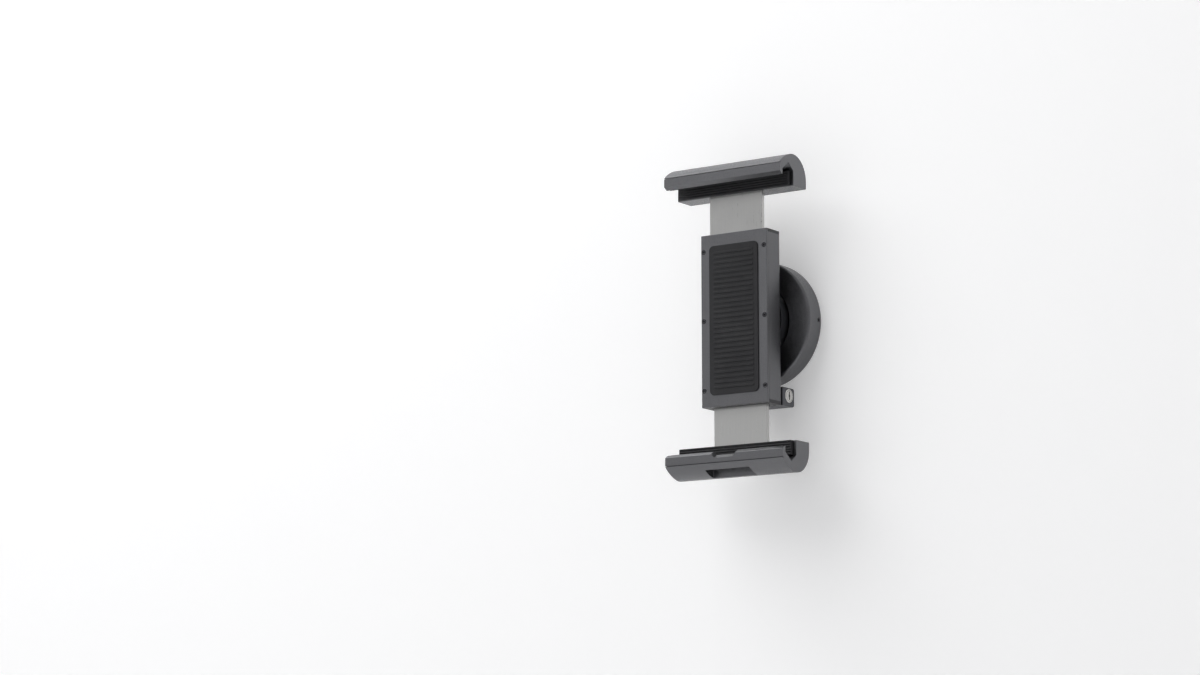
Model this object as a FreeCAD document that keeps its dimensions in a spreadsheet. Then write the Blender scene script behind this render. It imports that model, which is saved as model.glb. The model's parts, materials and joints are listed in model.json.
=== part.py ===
import FreeCAD, Part
import math
import operator
import os

import Sketcher

# Tablet wall mount: two jaws that close over a tablet's edges, on a column that turns on the wall.
# The wall is the plane Y = 0, the front looks along -Y, and Z is up. The origin is the middle of the
# wall flange's back face. A depth is a distance from the wall, so it lies at Y = -depth.

Vector = FreeCAD.Vector
doc = FreeCAD.newDocument("tablet_wall_mount")

SIZES = [
    # name, millimetres or degrees, meaning
    ("rest_gap", 169.0, "between the held edges, jaws as in use"),
    ("device_space", 8.1, "from the back pad to the front of what is held"),
    ("closed_gap", 1.5, "jaw blocks to the column's ends, jaws closed"),
    ("jaw_width", 81.4, "length of both jaw profiles"),
    ("lip_gap", 0.9, "lip in front of the held front face"),
    ("lip_reach", 4.6, "lip over the held front face"),
    ("lip_thickness", 3.2, "front wall of the jaw"),
    ("lip_bevel", 1.95, "slope on the lip's edge"),
    ("crease_out", 2.7, "crease below or above the held edge"),
    ("crease_groove", 0.3, "radius of the groove along the crease"),
    ("jaw_out", 9.95, "outermost point of the jaw from the held edge"),
    ("jaw_back_radius", 14.25, "round back of the jaw"),
    ("shoulder_angle", 15.5, "where the round back meets the flatter front curve, degrees"),
    ("groove_depth", 4.1, "V groove below the held edge"),
    ("groove_middle", 6.0, "V groove's bottom behind the held front face"),
    ("groove_front", 0.8, "front slope ends this far inside the held edge"),
    ("groove_back", 0.1, "rear slope ends this far inside the held edge"),
    ("block_reach", 9.0, "rear block of the jaw inside the held edge"),
    ("notch_width", 12.4, "lip notch at its floor"),
    ("notch_floor", 0.35, "lip notch's floor inside the held edge, at the lip's front"),
    ("notch_flare", 0.95, "lip notch widens by this, on each side, per millimetre"),
    ("window_width", 30.5, "lead window in the lower jaw"),
    ("window_length", 9.3, "lead window, front to back"),
    ("jaw_pad", 3.0, "rubber behind the device in each jaw"),
    ("lip_pad", 0.6, "rubber behind each lip"),
    ("pad_margin", 2.0, "from a pad's end to the jaw's end"),
    ("tongue_width", 36.6, "both forked tongues"),
    ("tongue_thickness", 2.5, "both forked tongues"),
    ("tongue_insert", 8.0, "tongue inside its jaw"),
    ("fork_gap", 0.4, "pinion to the plain sides of the fork"),
    ("prong_spare", 3.5, "prongs beyond the pinion's middle, jaws open"),
    ("layer_gap", 0.8, "between the two tongues"),
    ("slide_gap", 0.1, "sliding faces"),
    ("set_screw_radius", 2.0, "screws that clamp a tongue in its jaw"),
    ("set_screw_spread", 12.0, "set screws from the middle"),
    ("set_screw_inset", 6.0, "set screws inside the held edge"),
    ("gear_module", 1.0, "pinion and racks"),
    ("gear_teeth", 16, "pinion teeth"),
    ("pressure_angle", 20.0, "pinion and racks, degrees"),
    ("addendum", 0.9, "tooth above the pitch line, in modules"),
    ("dedendum", 1.25, "tooth below the pitch line, in modules"),
    ("backlash", 0.2, "play between tooth flanks"),
    ("rack_spare", 1.5, "rack beyond the mesh with the jaws closed, in teeth"),
    ("slot_margin", 2.1, "pinion to the fork's end with the jaws closed"),
    ("shaft_radius", 2.5, "pinion shaft"),
    ("hub_wall", 1.7, "pinion hub"),
    ("back_wall", 2.7, "housing"),
    ("screw_land", 0.1, "column's side wall beside the heads of the cover screws"),
    ("shoulder_width", 7.5, "thick corners of the housing"),
    ("column_corner", 3.0, "rounding of the housing's rear corners"),
    ("cap_thickness", 2.0, "end caps"),
    ("cap_gap", 0.5, "prong ends to the end cap, closed"),
    ("cover_thickness", 1.8, "front cover"),
    ("cover_edge", 0.8, "rounding of the front cover"),
    ("back_pad", 1.0, "rubber on the front cover"),
    ("back_pad_width", 34.0, "rubber on the front cover"),
    ("back_pad_length", 90.0, "rubber on the front cover"),
    ("back_pad_corner", 3.0, "rubber on the front cover"),
    ("rail_flange", 1.0, "guide rails' flanges"),
    ("rail_web", 0.8, "guide rails' web"),
    ("rail_width", 3.8, "guide rails, web and flange"),
    ("bridge_length", 18.0, "plate that carries the pinion shaft"),
    ("bridge_thickness", 1.9, "plate that carries the pinion shaft"),
    ("bridge_screw_inset", 2.7, "bridge screws from the plate's ends"),
    ("bridge_tap", 2.2, "depth of the tapped holes under the bridge"),
    ("flange_thickness", 6.0, "wall flange"),
    ("wall_screw_circle", 27.0, "radius of the circle of wall screw holes"),
    ("wall_screw_radius", 2.5, "wall screw holes"),
    ("wall_screw_head", 5.0, "countersinks of the wall screw holes"),
    ("flange_rim", 4.0, "wall flange outside the countersinks"),
    ("hub_rim", 1.0, "thrust shoulder outside the bush's flange"),
    ("hub_height", 5.0, "thrust shoulder above the wall flange"),
    ("journal_radius", 10.0, "journal that the turntable runs on"),
    ("pilot_radius", 6.0, "pilot for the disc spring"),
    ("spring_room", 0.25, "disc spring to the retaining washer"),
    ("bolt_radius", 3.0, "pivot bolt"),
    ("bolt_head_radius", 5.25, "pivot bolt"),
    ("bolt_head_height", 3.2, "pivot bolt"),
    ("bolt_head_gap", 0.6, "pivot bolt to the bearing bridge"),
    ("bolt_recess", 2.25, "pivot bolt's hex recess, middle to corner"),
    ("bolt_end", 5.0, "depth where the pivot bolt's hole ends"),
    ("running_gap", 0.05, "radial play of what turns"),
    ("bush_wall", 2.0, "bearing bush"),
    ("bush_flange", 1.4, "bearing bush's thrust flange"),
    ("bush_flange_width", 3.95, "bearing bush's thrust flange outside the bush"),
    ("turntable_rim", 8.0, "turntable outside its pocket"),
    ("pocket_floor", 4.0, "turntable behind the washer pocket"),
    ("friction_washer", 0.8, "thickness"),
    ("disc_spring", 0.9, "thickness"),
    ("disc_cone", 1.3, "disc spring's rise"),
    ("washer_gap", 0.8, "friction washer and disc spring in their pocket"),
    ("retaining_washer", 1.5, "thickness"),
    ("retaining_radius", 13.0, "retaining washer"),
    ("pocket_room", 2.0, "retaining washer inside the turntable's pocket"),
    ("turntable_floor", 1.0, "turntable behind its tapped holes"),
    ("rosette_depth", 13.6, "depth of the round cover's front"),
    ("rosette_wall", 1.5, "round cover"),
    ("rosette_gap", 0.5, "between the round cover and the wall flange"),
    ("rosette_clear", 1.0, "between the round cover and the turntable"),
    ("rosette_lift", 0.3, "round cover clear of the wall"),
    ("grub_radius", 1.5, "rosette's grub screws"),
    ("grub_length", 7.0, "rosette's grub screws"),
    ("brake_width", 5.0, "brake shoe and spring"),
    ("brake_length", 20.0, "brake shoe and spring"),
    ("brake_shoe", 2.8, "brake shoe's thickness"),
    ("brake_leaf", 0.4, "brake spring's thickness"),
    ("leaf_inset", 1.0, "brake spring's ends inside the shoe's"),
    ("brake_gap", 0.3, "brake shoe and spring below the bridge"),
    ("lock_gap", 2.8, "lock housing below the round cover"),
    ("lock_inset", 0.1, "lock housing above the column's lower end"),
    ("lock_above", 4.8, "lock housing above the key axis"),
    ("lock_axis_behind", 7.1, "key axis behind the column's back"),
    ("lock_left", 6.0, "lock housing, left of the middle"),
    ("lock_wall", 1.0, "lock housing above and below the cam"),
    ("lock_screw_inset", 3.8, "first lock screw from the housing's left side"),
    ("lock_screw_spacing", 7.6, "between the lock screws"),
    ("barrel_radius", 4.2, "lock barrel"),
    ("barrel_neck", 3.0, "lock barrel's inner end"),
    ("neck_length", 1.4, "lock barrel, narrow part"),
    ("barrel_proud", 0.3, "lock barrel's face outside the housing"),
    ("keyway_height", 5.0, "slot for the key"),
    ("keyway_width", 1.4, "slot for the key"),
    ("keyway_depth", 4.0, "slot for the key"),
    ("cam_base", 2.6, "smallest radius of the lock cam"),
    ("cam_rise", 2.2, "rise of the lock cam over a quarter turn"),
    ("cam_width", 5.0, "lock cam"),
    ("cam_gap", 0.3, "lock cam to bolt"),
    ("cam_room", 0.5, "below the lock cam in its housing"),
    ("cam_nose", 25.0, "lock cam's flank beyond the quarter turn, degrees"),
    ("cam_tap", 3.0, "depth of the cam screw's hole in the barrel"),
    ("cam_screw_head", 1.9, "cam screw"),
    ("cam_screw_height", 1.25, "cam screw's head"),
    ("bolt_width", 4.6, "lock bolt"),
    ("bolt_height", 6.0, "lock bolt"),
    ("bolt_foot", 0.4, "half the height of the lock bolt's foot on the cam"),
    ("bolt_play", 0.2, "lock bolt in its guide"),
    ("bite", 0.8, "lock bolt's teeth in the locking strip"),
    ("strip_pitch", 2.0, "locking strip's teeth"),
    ("strip_depth", 1.0, "locking strip's teeth"),
    ("small_screw_radius", 1.5, "turntable and lock screws"),
    ("small_screw_head", 2.8, "turntable and lock screws"),
    ("cap_screw_radius", 1.25, "end cap screws"),
    ("cap_screw_head", 2.4, "end cap screws"),
    ("cap_screw_length", 9.0, "end cap screws"),
    ("cover_screw_radius", 1.0, "front cover, bridge and cam screws"),
    ("cover_screw_head", 1.7, "front cover and bridge screws"),
    ("cover_screw_length", 8.0, "front cover screws"),
    ("cover_screw_inset", 10.1, "outer cover screws from the column's ends"),
    ("screw_gap", 0.05, "round a screw's shank"),
    ("screw_end_gap", 0.5, "from a screw's end to its hole's end"),
    ("screw_recess", 0.9, "hex recess of a screw with a head, in shank radii"),
    ("set_screw_recess", 0.6, "hex recess of a headless screw, in shank radii"),
    ("overshoot", 1.0, "a cut runs this far past what it cuts"),
]

# Directions of the screws round the swivel's axis, in degrees from X.
WALL_SCREW_ANGLES = (45, 135, 225, 315)
TURNTABLE_SCREW_ANGLES = (60, 120, 240, 300)

RIGHT = (1, 0, 0)
LEFT = (-1, 0, 0)
BACK = (0, 1, 0)
FRONT = (0, -1, 0)
UP = (0, 0, 1)
DOWN = (0, 0, -1)


class Size:
    """A number that also knows its formula on the sheet."""

    def __init__(self, value, formula):
        self.value = float(value)
        self.formula = formula

    def __add__(self, other):
        return combined(self, "+", other)

    def __radd__(self, other):
        return combined(other, "+", self)

    def __sub__(self, other):
        return combined(self, "-", other)

    def __rsub__(self, other):
        return combined(other, "-", self)

    def __mul__(self, other):
        return combined(self, "*", other)

    def __rmul__(self, other):
        return combined(other, "*", self)

    def __truediv__(self, other):
        return combined(self, "/", other)

    def __neg__(self):
        return combined(0, "-", self)


OPERATIONS = {"+": operator.add, "-": operator.sub, "*": operator.mul, "/": operator.truediv}


def as_size(number):
    """The number itself if it already has a formula, or else a plain number with one."""
    if isinstance(number, Size):
        return number
    return Size(number, "(%.6f)" % number)


def combined(left, sign, right):
    left = as_size(left)
    right = as_size(right)
    value = OPERATIONS[sign](left.value, right.value)
    return Size(value, "(%s %s %s)" % (left.formula, sign, right.formula))


def turned_by(name, function, angle):
    """Sine, cosine or tangent of an angle in degrees."""
    return Size(function(math.radians(angle.value)), "%s(%s * 1 deg)" % (name, angle.formula))


def sine(angle):
    return turned_by("sin", math.sin, angle)


def cosine(angle):
    return turned_by("cos", math.cos, angle)


def tangent(angle):
    return turned_by("tan", math.tan, angle)


def make_sheet():
    """Write the driving dimensions to a spreadsheet and give them back by name."""
    sheet = doc.addObject("Spreadsheet::Sheet", "sizes")
    for row, (name, value, meaning) in enumerate(SIZES, start=1):
        sheet.set("A%d" % row, name)
        sheet.set("B%d" % row, str(value))
        sheet.set("C%d" % row, meaning)
        sheet.setAlias("B%d" % row, name)
    doc.recompute()
    return {name: Size(sheet.get(name), "sizes.%s" % name) for name, _, _ in SIZES}


s = make_sheet()

# Places that several pieces share, all worked out from the sheet.
# They start at the wall and go forwards, through the swivel and the column, to what the jaws hold.
hub_front = s["flange_thickness"] + s["hub_height"]
turntable_back = hub_front + s["running_gap"] + s["bush_flange"]
pocket_depth = turntable_back + s["pocket_floor"]
journal_front = pocket_depth + s["running_gap"] + s["friction_washer"]
pilot_front = journal_front + s["screw_gap"] + s["disc_spring"] + s["disc_cone"] + s["spring_room"]
bolt_seat = pilot_front + s["retaining_washer"] + 2 * s["screw_gap"]
bolt_front = bolt_seat + s["bolt_head_height"]
bridge_back = bolt_front + s["bolt_head_gap"]
inner_back = bridge_back - s["bridge_tap"]
column_back = inner_back - s["back_wall"]
rail_back = bridge_back + s["bridge_thickness"]
rear_layer = rail_back + s["rail_flange"] + s["slide_gap"]
front_layer = rear_layer + s["tongue_thickness"] + s["layer_gap"]
cover_back = front_layer + s["tongue_thickness"] + s["slide_gap"] + s["rail_flange"]
cover_front = cover_back + s["cover_thickness"]
pad_face = cover_front + s["back_pad"]
glass = pad_face + s["device_space"]

# The swivel's radii, from the journal out to the round cover.
bush_bore = s["journal_radius"] + s["running_gap"]
bush_outside = bush_bore + s["bush_wall"]
bush_flange_radius = bush_outside + s["bush_flange_width"]
hub_radius = bush_flange_radius + s["hub_rim"]
spring_bore = s["retaining_radius"] + s["pocket_room"]
turntable_radius = spring_bore + s["turntable_rim"]
turntable_screw_circle = (spring_bore + turntable_radius) / 2
flange_radius = s["wall_screw_circle"] + s["wall_screw_head"] + s["flange_rim"]
rosette_radius = flange_radius + s["rosette_gap"] + s["rosette_wall"]
rosette_opening = turntable_radius + s["rosette_clear"]

# Heights: the lock clears the round cover, the column ends below the lock, and the jaws have the rest.
half_gap = s["rest_gap"] / 2
lock_top = rosette_radius + s["lock_gap"]
lock_axis_drop = lock_top + s["lock_above"]
lock_bottom = lock_axis_drop + s["cam_base"] + s["cam_rise"] + s["cam_room"] + s["lock_wall"]
half_length = lock_bottom + s["lock_inset"]
shell_end = half_length - s["cap_thickness"]
travel_in = half_gap - s["block_reach"] - s["closed_gap"] - half_length
prong_end = shell_end - s["cap_gap"] - travel_in
travel_out = prong_end - s["prong_spare"]

# The pinion and its racks.
pitch_radius = s["gear_module"] * s["gear_teeth"] / 2
rack_pitch = s["gear_module"] * math.pi
tip_line = pitch_radius - s["addendum"] * s["gear_module"]
root_line = pitch_radius + s["dedendum"] * s["gear_module"]
tip_radius = pitch_radius + s["addendum"] * s["gear_module"]
half_slot = tip_radius + s["fork_gap"]
slot_end = travel_in + tip_radius + s["slot_margin"]
rack_end = travel_in + s["rack_spare"] * rack_pitch

# Widths in the column, from the tongues out.
half_tongue = s["tongue_width"] / 2
rail_inside = half_tongue + 2 * s["slide_gap"]
wall_inside = rail_inside + s["rail_web"] + s["slide_gap"]
side_wall = 2 * (s["cover_screw_head"] + s["screw_land"])
half_width = wall_inside + side_wall
side_wall_middle = half_width - side_wall / 2
shoulder_inside = half_width - s["shoulder_width"]
shoulder_middle = half_width - s["shoulder_width"] / 2

# The lock, whose bolt lies beside the column's right shoulder.
bolt_centre = shoulder_inside - s["bolt_width"] / 2 - s["bolt_play"]
cam_left = bolt_centre - s["cam_width"] / 2
cam_right = bolt_centre + s["cam_width"] / 2
barrel_shoulder = cam_right + s["neck_length"]
lock_axis_depth = column_back - s["lock_axis_behind"]
cam_reach = s["cam_base"] + s["cam_rise"] + s["cam_gap"]
lock_depth = s["lock_axis_behind"] + cam_reach + s["lock_wall"]
foot_depth = lock_axis_depth + s["cam_base"] + s["cam_gap"]
nose_depth = rear_layer + s["bite"] - s["cam_rise"]


def tie(target, path, size):
    """Bind one property to its formula on the sheet."""
    target.setExpression(path, as_size(size).formula)


def finish(body):
    """Recompute and give the body back, once its shape is known to be sound."""
    doc.recompute()
    if body.Shape.isNull() or not body.Shape.isValid():
        raise RuntimeError("%s has no sound shape" % body.Label)
    return body


def new_body(name):
    body = doc.addObject("PartDesign::Body", name)
    body.Label = name
    return body


def new_sketch(body, name, role, raised=0):
    """A sketch on one of the body's origin planes, raised along the plane's normal."""
    sketch = body.newObject("Sketcher::SketchObject", "%s_%s_sketch" % (body.Name, name))
    plane = next(item for item in body.Origin.OriginFeatures if item.Role == role)
    sketch.AttachmentSupport = [(plane, "")]
    sketch.MapMode = "FlatFace"
    tie(sketch, ".AttachmentOffset.Base.z", raised)
    return sketch


def front_sketch(body, name, depth):
    """Sketch in X and Z, at a depth from the wall, looking at it from the front."""
    return new_sketch(body, name, "XZ_Plane", depth)


def level_sketch(body, name, height):
    """Sketch in X and Y, at a height, seen from above."""
    return new_sketch(body, name, "XY_Plane", height)


def side_sketch(body, name, place=0):
    """Sketch in Y and Z, at a place along X, seen from the right."""
    return new_sketch(body, name, "YZ_Plane", place)


def tie_point(sketch, item, end, corner):
    """Hold one end of an item at a corner's distances from the sketch's origin."""
    for kind, size in zip(("DistanceX", "DistanceY"), corner):
        size = as_size(size)
        held = sketch.addConstraint(Sketcher.Constraint(kind, -1, 1, item, end, size.value))
        tie(sketch, "Constraints[%d]" % held, size)


def plain(corner):
    return Vector(as_size(corner[0]).value, as_size(corner[1]).value, 0)


def arc_between(start, finish_point, radius, turn):
    """Arc from start to finish: turn is 1 if it bends to the left, and -1 if to the right."""
    chord = finish_point - start
    reach = math.sqrt(max(radius ** 2 - (chord.Length / 2) ** 2, 0))
    left = Vector(-chord.y, chord.x, 0).normalize()
    centre = start + chord / 2 + left * (turn * reach)
    first, last = (start, finish_point) if turn > 0 else (finish_point, start)
    angles = [math.atan2(point.y - centre.y, point.x - centre.x) for point in (first, last)]
    return Part.ArcOfCircle(Part.Circle(centre, Vector(0, 0, 1), radius), angles[0], angles[1])


def draw_loop(sketch, corners, arcs=None, smooth=None):
    """Draw a closed outline through the corners.

    arcs maps a side's index to (radius, turn). smooth maps such a side's index to its radius as
    drawn, where the next arc's tangent sets it.
    """
    arcs = arcs or {}
    smooth = smooth or {}
    count = len(corners)
    sides = []
    for index in range(count):
        start = plain(corners[index])
        end = plain(corners[(index + 1) % count])
        if index in arcs:
            radius, turn = arcs[index]
            item = sketch.addGeometry(arc_between(start, end, as_size(radius).value, turn))
            sides.append((item, 1, 2) if turn > 0 else (item, 2, 1))
        else:
            item = sketch.addGeometry(Part.LineSegment(start, end))
            sides.append((item, 1, 2))
    for index in range(count):
        last, _, last_end = sides[index - 1]
        item, first_end, _ = sides[index]
        meeting = "Tangent" if (index - 1) % count in smooth else "Coincident"
        sketch.addConstraint(Sketcher.Constraint(meeting, last, last_end, item, first_end))
        tie_point(sketch, item, first_end, corners[index])
    for index, (radius, _) in arcs.items():
        if index not in smooth:
            radius = as_size(radius)
            held = sketch.addConstraint(Sketcher.Constraint("Radius", sides[index][0], radius.value))
            tie(sketch, "Constraints[%d]" % held, radius)
    return sketch


def draw_box(sketch, left, right, low, high):
    return draw_loop(sketch, [(left, low), (right, low), (right, high), (left, high)])


def draw_circles(sketch, spots, radius):
    """Draw one circle of the same radius at each spot."""
    radius = as_size(radius)
    for spot in spots:
        circle = Part.Circle(plain(spot), Vector(0, 0, 1), radius.value)
        item = sketch.addGeometry(circle)
        tie_point(sketch, item, 3, spot)
        held = sketch.addConstraint(Sketcher.Constraint("Radius", item, radius.value))
        tie(sketch, "Constraints[%d]" % held, radius)
    return sketch


def feature(body, kind, sketch, name):
    item = body.newObject("PartDesign::%s" % kind, "%s_%s" % (body.Name, name))
    item.Profile = sketch
    sketch.Visibility = False
    return item


def pad(body, sketch, length, name="pad", both_ways=False, backwards=False):
    """Thicken a sketch along its plane's normal."""
    item = feature(body, "Pad", sketch, name)
    item.SideType = "Symmetric" if both_ways else "One side"
    item.Reversed = backwards
    tie(item, "Length", length)
    doc.recompute()
    return item


def pocket(body, sketch, length, name, both_ways=False, forwards=False):
    """Cut a sketch into the body, against its plane's normal or along it."""
    before = body.Shape.Volume
    item = feature(body, "Pocket", sketch, name)
    item.SideType = "Symmetric" if both_ways else "One side"
    item.Reversed = forwards
    tie(item, "Length", length)
    doc.recompute()
    check_cut(body, before, name)
    return item


def check_cut(body, before, name):
    if not body.Shape.Volume < before - 1e-6:
        raise RuntimeError("%s of %s cuts nothing" % (name, body.Label))


def revolve(body, sketch, name="turning"):
    """Turn a side sketch, drawn in Y and radius, about the swivel's axis."""
    item = feature(body, "Revolution", sketch, name)
    item.ReferenceAxis = (sketch, ["H_Axis"])
    item.Angle = 360
    doc.recompute()
    return item


def drill(body, sketch, radius, name, head=None, depth=None, forwards=False):
    """Drill round holes at the sketch's circles, with countersinks where head gives their radius."""
    before = body.Shape.Volume
    item = feature(body, "Hole", sketch, name)
    doc.recompute()
    item.Reversed = forwards
    tie(item, "Diameter", 2 * radius)
    if depth is None:
        item.DepthType = "ThroughAll"
    else:
        item.DepthType = "Dimension"
        item.DrillPoint = "Flat"
        tie(item, "Depth", depth)
    if head is not None:
        item.HoleCutType = "Countersink"
        item.HoleCutCustomValues = True
        item.HoleCutCountersinkAngle = 90
        tie(item, "HoleCutDiameter", 2 * head)
    doc.recompute()
    check_cut(body, before, name)
    return item


def repeat_up(body, original, count, pitch, name, backwards=False):
    """Repeat a cut along Z."""
    pattern = body.newObject("PartDesign::LinearPattern", "%s_%s" % (body.Name, name))
    pattern.Originals = [original]
    pattern.Direction = (original.Profile[0], ["V_Axis"])
    pattern.Reversed = backwards
    pattern.Occurrences = count
    tie(pattern, "Length", (count - 1) * pitch)
    body.Tip = pattern
    doc.recompute()
    return pattern


def stand(item, spot, facing, back):
    """Turn a primitive's own axis to face one way, with its base this far behind the spot."""
    turn = FreeCAD.Rotation(Vector(0, 0, 1), Vector(*facing))
    item.Placement = FreeCAD.Placement(Vector(0, 0, 0), turn)
    for axis, place, step in zip("xyz", spot, facing):
        tie(item, ".Placement.Base.%s" % axis, as_size(place) - step * as_size(back))
    return item


def rod(name, radius, length, spot, facing):
    """Cylinder whose far end, the one that it faces with, is centred on the spot."""
    item = doc.addObject("Part::Cylinder", name)
    tie(item, "Radius", radius)
    tie(item, "Height", length)
    return stand(item, spot, facing, length)


def cone(name, base_radius, top_radius, length, spot, facing):
    item = doc.addObject("Part::Cone", name)
    tie(item, "Radius1", base_radius)
    tie(item, "Radius2", top_radius)
    tie(item, "Height", length)
    return stand(item, spot, facing, length)


def hexagon(name, radius, depth, spot, facing):
    """Six-sided recess, open past the spot."""
    item = doc.addObject("Part::Prism", name)
    item.Polygon = 6
    tie(item, "Circumradius", radius)
    tie(item, "Height", depth + s["overshoot"])
    return stand(item, spot, facing, depth)


def joined(name, items):
    item = doc.addObject("Part::MultiFuse", name)
    item.Shapes = items
    return item


def cut(name, base, tool):
    item = doc.addObject("Part::Cut", name)
    item.Base = base
    item.Tool = tool
    return item


def grouped(name, items):
    """One sub-part made of separate equal solids."""
    group = doc.addObject("Part::Compound", name)
    group.Links = items
    group.Label = name
    return finish(group)


def screw(name, spot, facing, radius, head, length):
    """Countersunk screw: spot is the middle of its head's flat face."""
    rise = head - radius
    shank = rod(name + "_shank", radius, length, spot, facing)
    top = cone(name + "_head", radius, head, rise, spot, facing)
    recess = hexagon(name + "_recess", radius * s["screw_recess"], rise, spot, facing)
    return cut(name, joined(name + "_blank", [shank, top]), recess)


def screws(name, spots, facing, radius, head, length):
    made = [screw("%s_%d" % (name, n), spot, facing, radius, head, length) for n, spot in enumerate(spots)]
    return grouped(name, made)


def set_screw(name, spot, facing, radius, length):
    """Headless screw: spot is the middle of its outer end."""
    shank = rod(name + "_shank", radius, length, spot, facing)
    return cut(name, shank, hexagon(name + "_recess", radius * s["set_screw_recess"], radius, spot, facing))


def around(radius, angles):
    """Spots on a circle in X and Z, the angles counted from X in degrees."""
    spots = []
    for angle in angles:
        x = radius * round(math.cos(math.radians(angle)), 6)
        z = radius * round(math.sin(math.radians(angle)), 6)
        spots.append((x, z))
    return spots


def at_depth(spots, depth):
    """Spots in X and Z, moved out from the wall."""
    return [(x, -as_size(depth), z) for x, z in spots]


def mirrored(x, z):
    """The four spots at plus and minus x and z."""
    return [(x, z), (-x, z), (-x, -z), (x, -z)]


def in_jaw(side, along, out):
    """A point of a jaw's section: along from the held front face to the wall, out past the held edge.

    side is 1 for the upper jaw and -1 for the lower one.
    """
    return (along - glass, side * (half_gap + out))


def jaw_section(side):
    """The jaw's outline: its corners, its arcs and the front arc's radius."""
    lip_front = -(s["lip_gap"] + s["lip_thickness"])
    back = glass - column_back
    centre = (back - s["jaw_back_radius"], s["jaw_out"] - s["jaw_back_radius"])
    shoulder = (
        centre[0] - s["jaw_back_radius"] * sine(s["shoulder_angle"]),
        centre[1] + s["jaw_back_radius"] * cosine(s["shoulder_angle"]),
    )
    crease = (lip_front, s["crease_out"])
    support = s["device_space"] + s["jaw_pad"]
    corners = [
        (-s["lip_gap"], -s["lip_reach"]),
        (lip_front, s["lip_bevel"] - s["lip_reach"]),
        crease,
        shoulder,
        (back, centre[1]),
        (back, -s["block_reach"]),
        (support, -s["block_reach"]),
        (support, -s["groove_back"]),
        (s["groove_middle"], s["groove_depth"]),
        (-s["lip_gap"], -s["groove_front"]),
    ]
    inward = (plain(centre) - plain(shoulder)).normalize()
    chord = plain(crease) - plain(shoulder)
    front_radius = chord.dot(chord) / (2 * inward.dot(chord))
    arcs = {2: (front_radius, -side), 3: (s["jaw_back_radius"], -side)}
    return [in_jaw(side, along, out) for along, out in corners], arcs, {2: front_radius}


def jaw_clamp(name, side, tongue_depth):
    """Extruded jaw with its crease groove, the socket for its tongue and two set screw holes."""
    body = new_body(name)
    corners, arcs, smooth = jaw_section(side)
    pad(body, draw_loop(side_sketch(body, "section"), corners, arcs, smooth), s["jaw_width"], both_ways=True)
    crease = draw_circles(side_sketch(body, "crease"), [corners[2]], s["crease_groove"])
    pocket(body, crease, s["jaw_width"] + s["overshoot"], "crease_groove", both_ways=True)
    block_face = side * (half_gap - s["block_reach"])
    socket = level_sketch(body, "socket", block_face)
    wide = half_tongue + s["slide_gap"]
    near = -(tongue_depth - s["slide_gap"])
    far = -(tongue_depth + s["tongue_thickness"] + s["slide_gap"])
    draw_box(socket, -wide, wide, far, near)
    pocket(body, socket, s["tongue_insert"], "tongue_socket", forwards=side > 0)
    drilled = front_sketch(body, "set_screws", column_back)
    height = side * (half_gap - s["set_screw_inset"])
    spots = [(-s["set_screw_spread"], height), (s["set_screw_spread"], height)]
    draw_circles(drilled, spots, s["set_screw_radius"] + s["screw_gap"])
    reach = tongue_depth - column_back
    pocket(body, drilled, reach, "set_screw_holes", forwards=True)
    return body


def upper_jaw_clamp():
    return finish(jaw_clamp("upper_jaw_clamp", 1, front_layer))


def lower_jaw_clamp():
    """The lower jaw also has the lip notch and the window for a charging lead."""
    body = jaw_clamp("lower_jaw_clamp", -1, rear_layer)
    cut_lip_notch(body)
    window = level_sketch(body, "window", -half_gap)
    half = s["window_width"] / 2
    draw_box(window, -half, half, -glass, s["window_length"] - glass)
    pocket(body, window, s["jaw_out"] + s["overshoot"], "lead_window")
    return finish(body)


def notch_outline(sketch, rise):
    """Trapezoid in the lower lip whose floor has risen by this much from where it is at the lip's front."""
    floor = s["notch_floor"] + rise - half_gap
    top = s["lip_reach"] + s["overshoot"] - half_gap
    half = s["notch_width"] / 2
    wide = half + s["notch_flare"] * (top - floor)
    return draw_loop(sketch, [(-half, floor), (half, floor), (wide, top), (-wide, top)])


def cut_lip_notch(body):
    """The notch's floor slopes like the lip's bevelled edge, so it is cut between two outlines."""
    before = body.Shape.Volume
    slope = s["lip_bevel"] / s["lip_thickness"]
    lip_front = glass + s["lip_gap"] + s["lip_thickness"]
    outlines = []
    for name, past in (("front", s["crease_groove"]), ("rear", -s["lip_thickness"] - s["lip_gap"])):
        sketch = front_sketch(body, "notch_" + name, lip_front + past)
        outlines.append(notch_outline(sketch, -past * slope))
    loft = feature(body, "SubtractiveLoft", outlines[0], "lip_notch")
    loft.Sections = [outlines[1]]
    loft.Ruled = True
    outlines[1].Visibility = False
    doc.recompute()
    check_cut(body, before, "lip_notch")


def jaw_back_pad(name, side):
    """Rubber bar that the device's back rests on."""
    body = new_body(name)
    half = s["jaw_width"] / 2 - s["pad_margin"]
    bottom = half_gap - s["block_reach"] + s["slide_gap"]
    top = half_gap - s["groove_back"] - s["slide_gap"]
    outline = draw_box(front_sketch(body, "outline", glass - s["device_space"] - s["jaw_pad"]),
                       -half, half, side * bottom, side * top)
    pad(body, outline, s["jaw_pad"])
    return finish(body)


def jaw_lip_pad(name, side, notch):
    """Thin rubber behind the lip, in two pieces where the notch parts it."""
    outer = s["jaw_width"] / 2 - s["pad_margin"]
    inner = s["notch_width"] / 2 + s["notch_flare"] * s["lip_reach"] + s["slide_gap"] if notch else 0
    low = side * (half_gap - s["lip_reach"] + s["slide_gap"])
    high = side * (half_gap - s["groove_front"] - s["slide_gap"])
    if not notch:
        return finish(lip_strip(name, -outer, outer, low, high))
    strips = [
        lip_strip(name + "_left", -outer, -inner, low, high),
        lip_strip(name + "_right", inner, outer, low, high),
    ]
    return grouped(name, strips)


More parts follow.
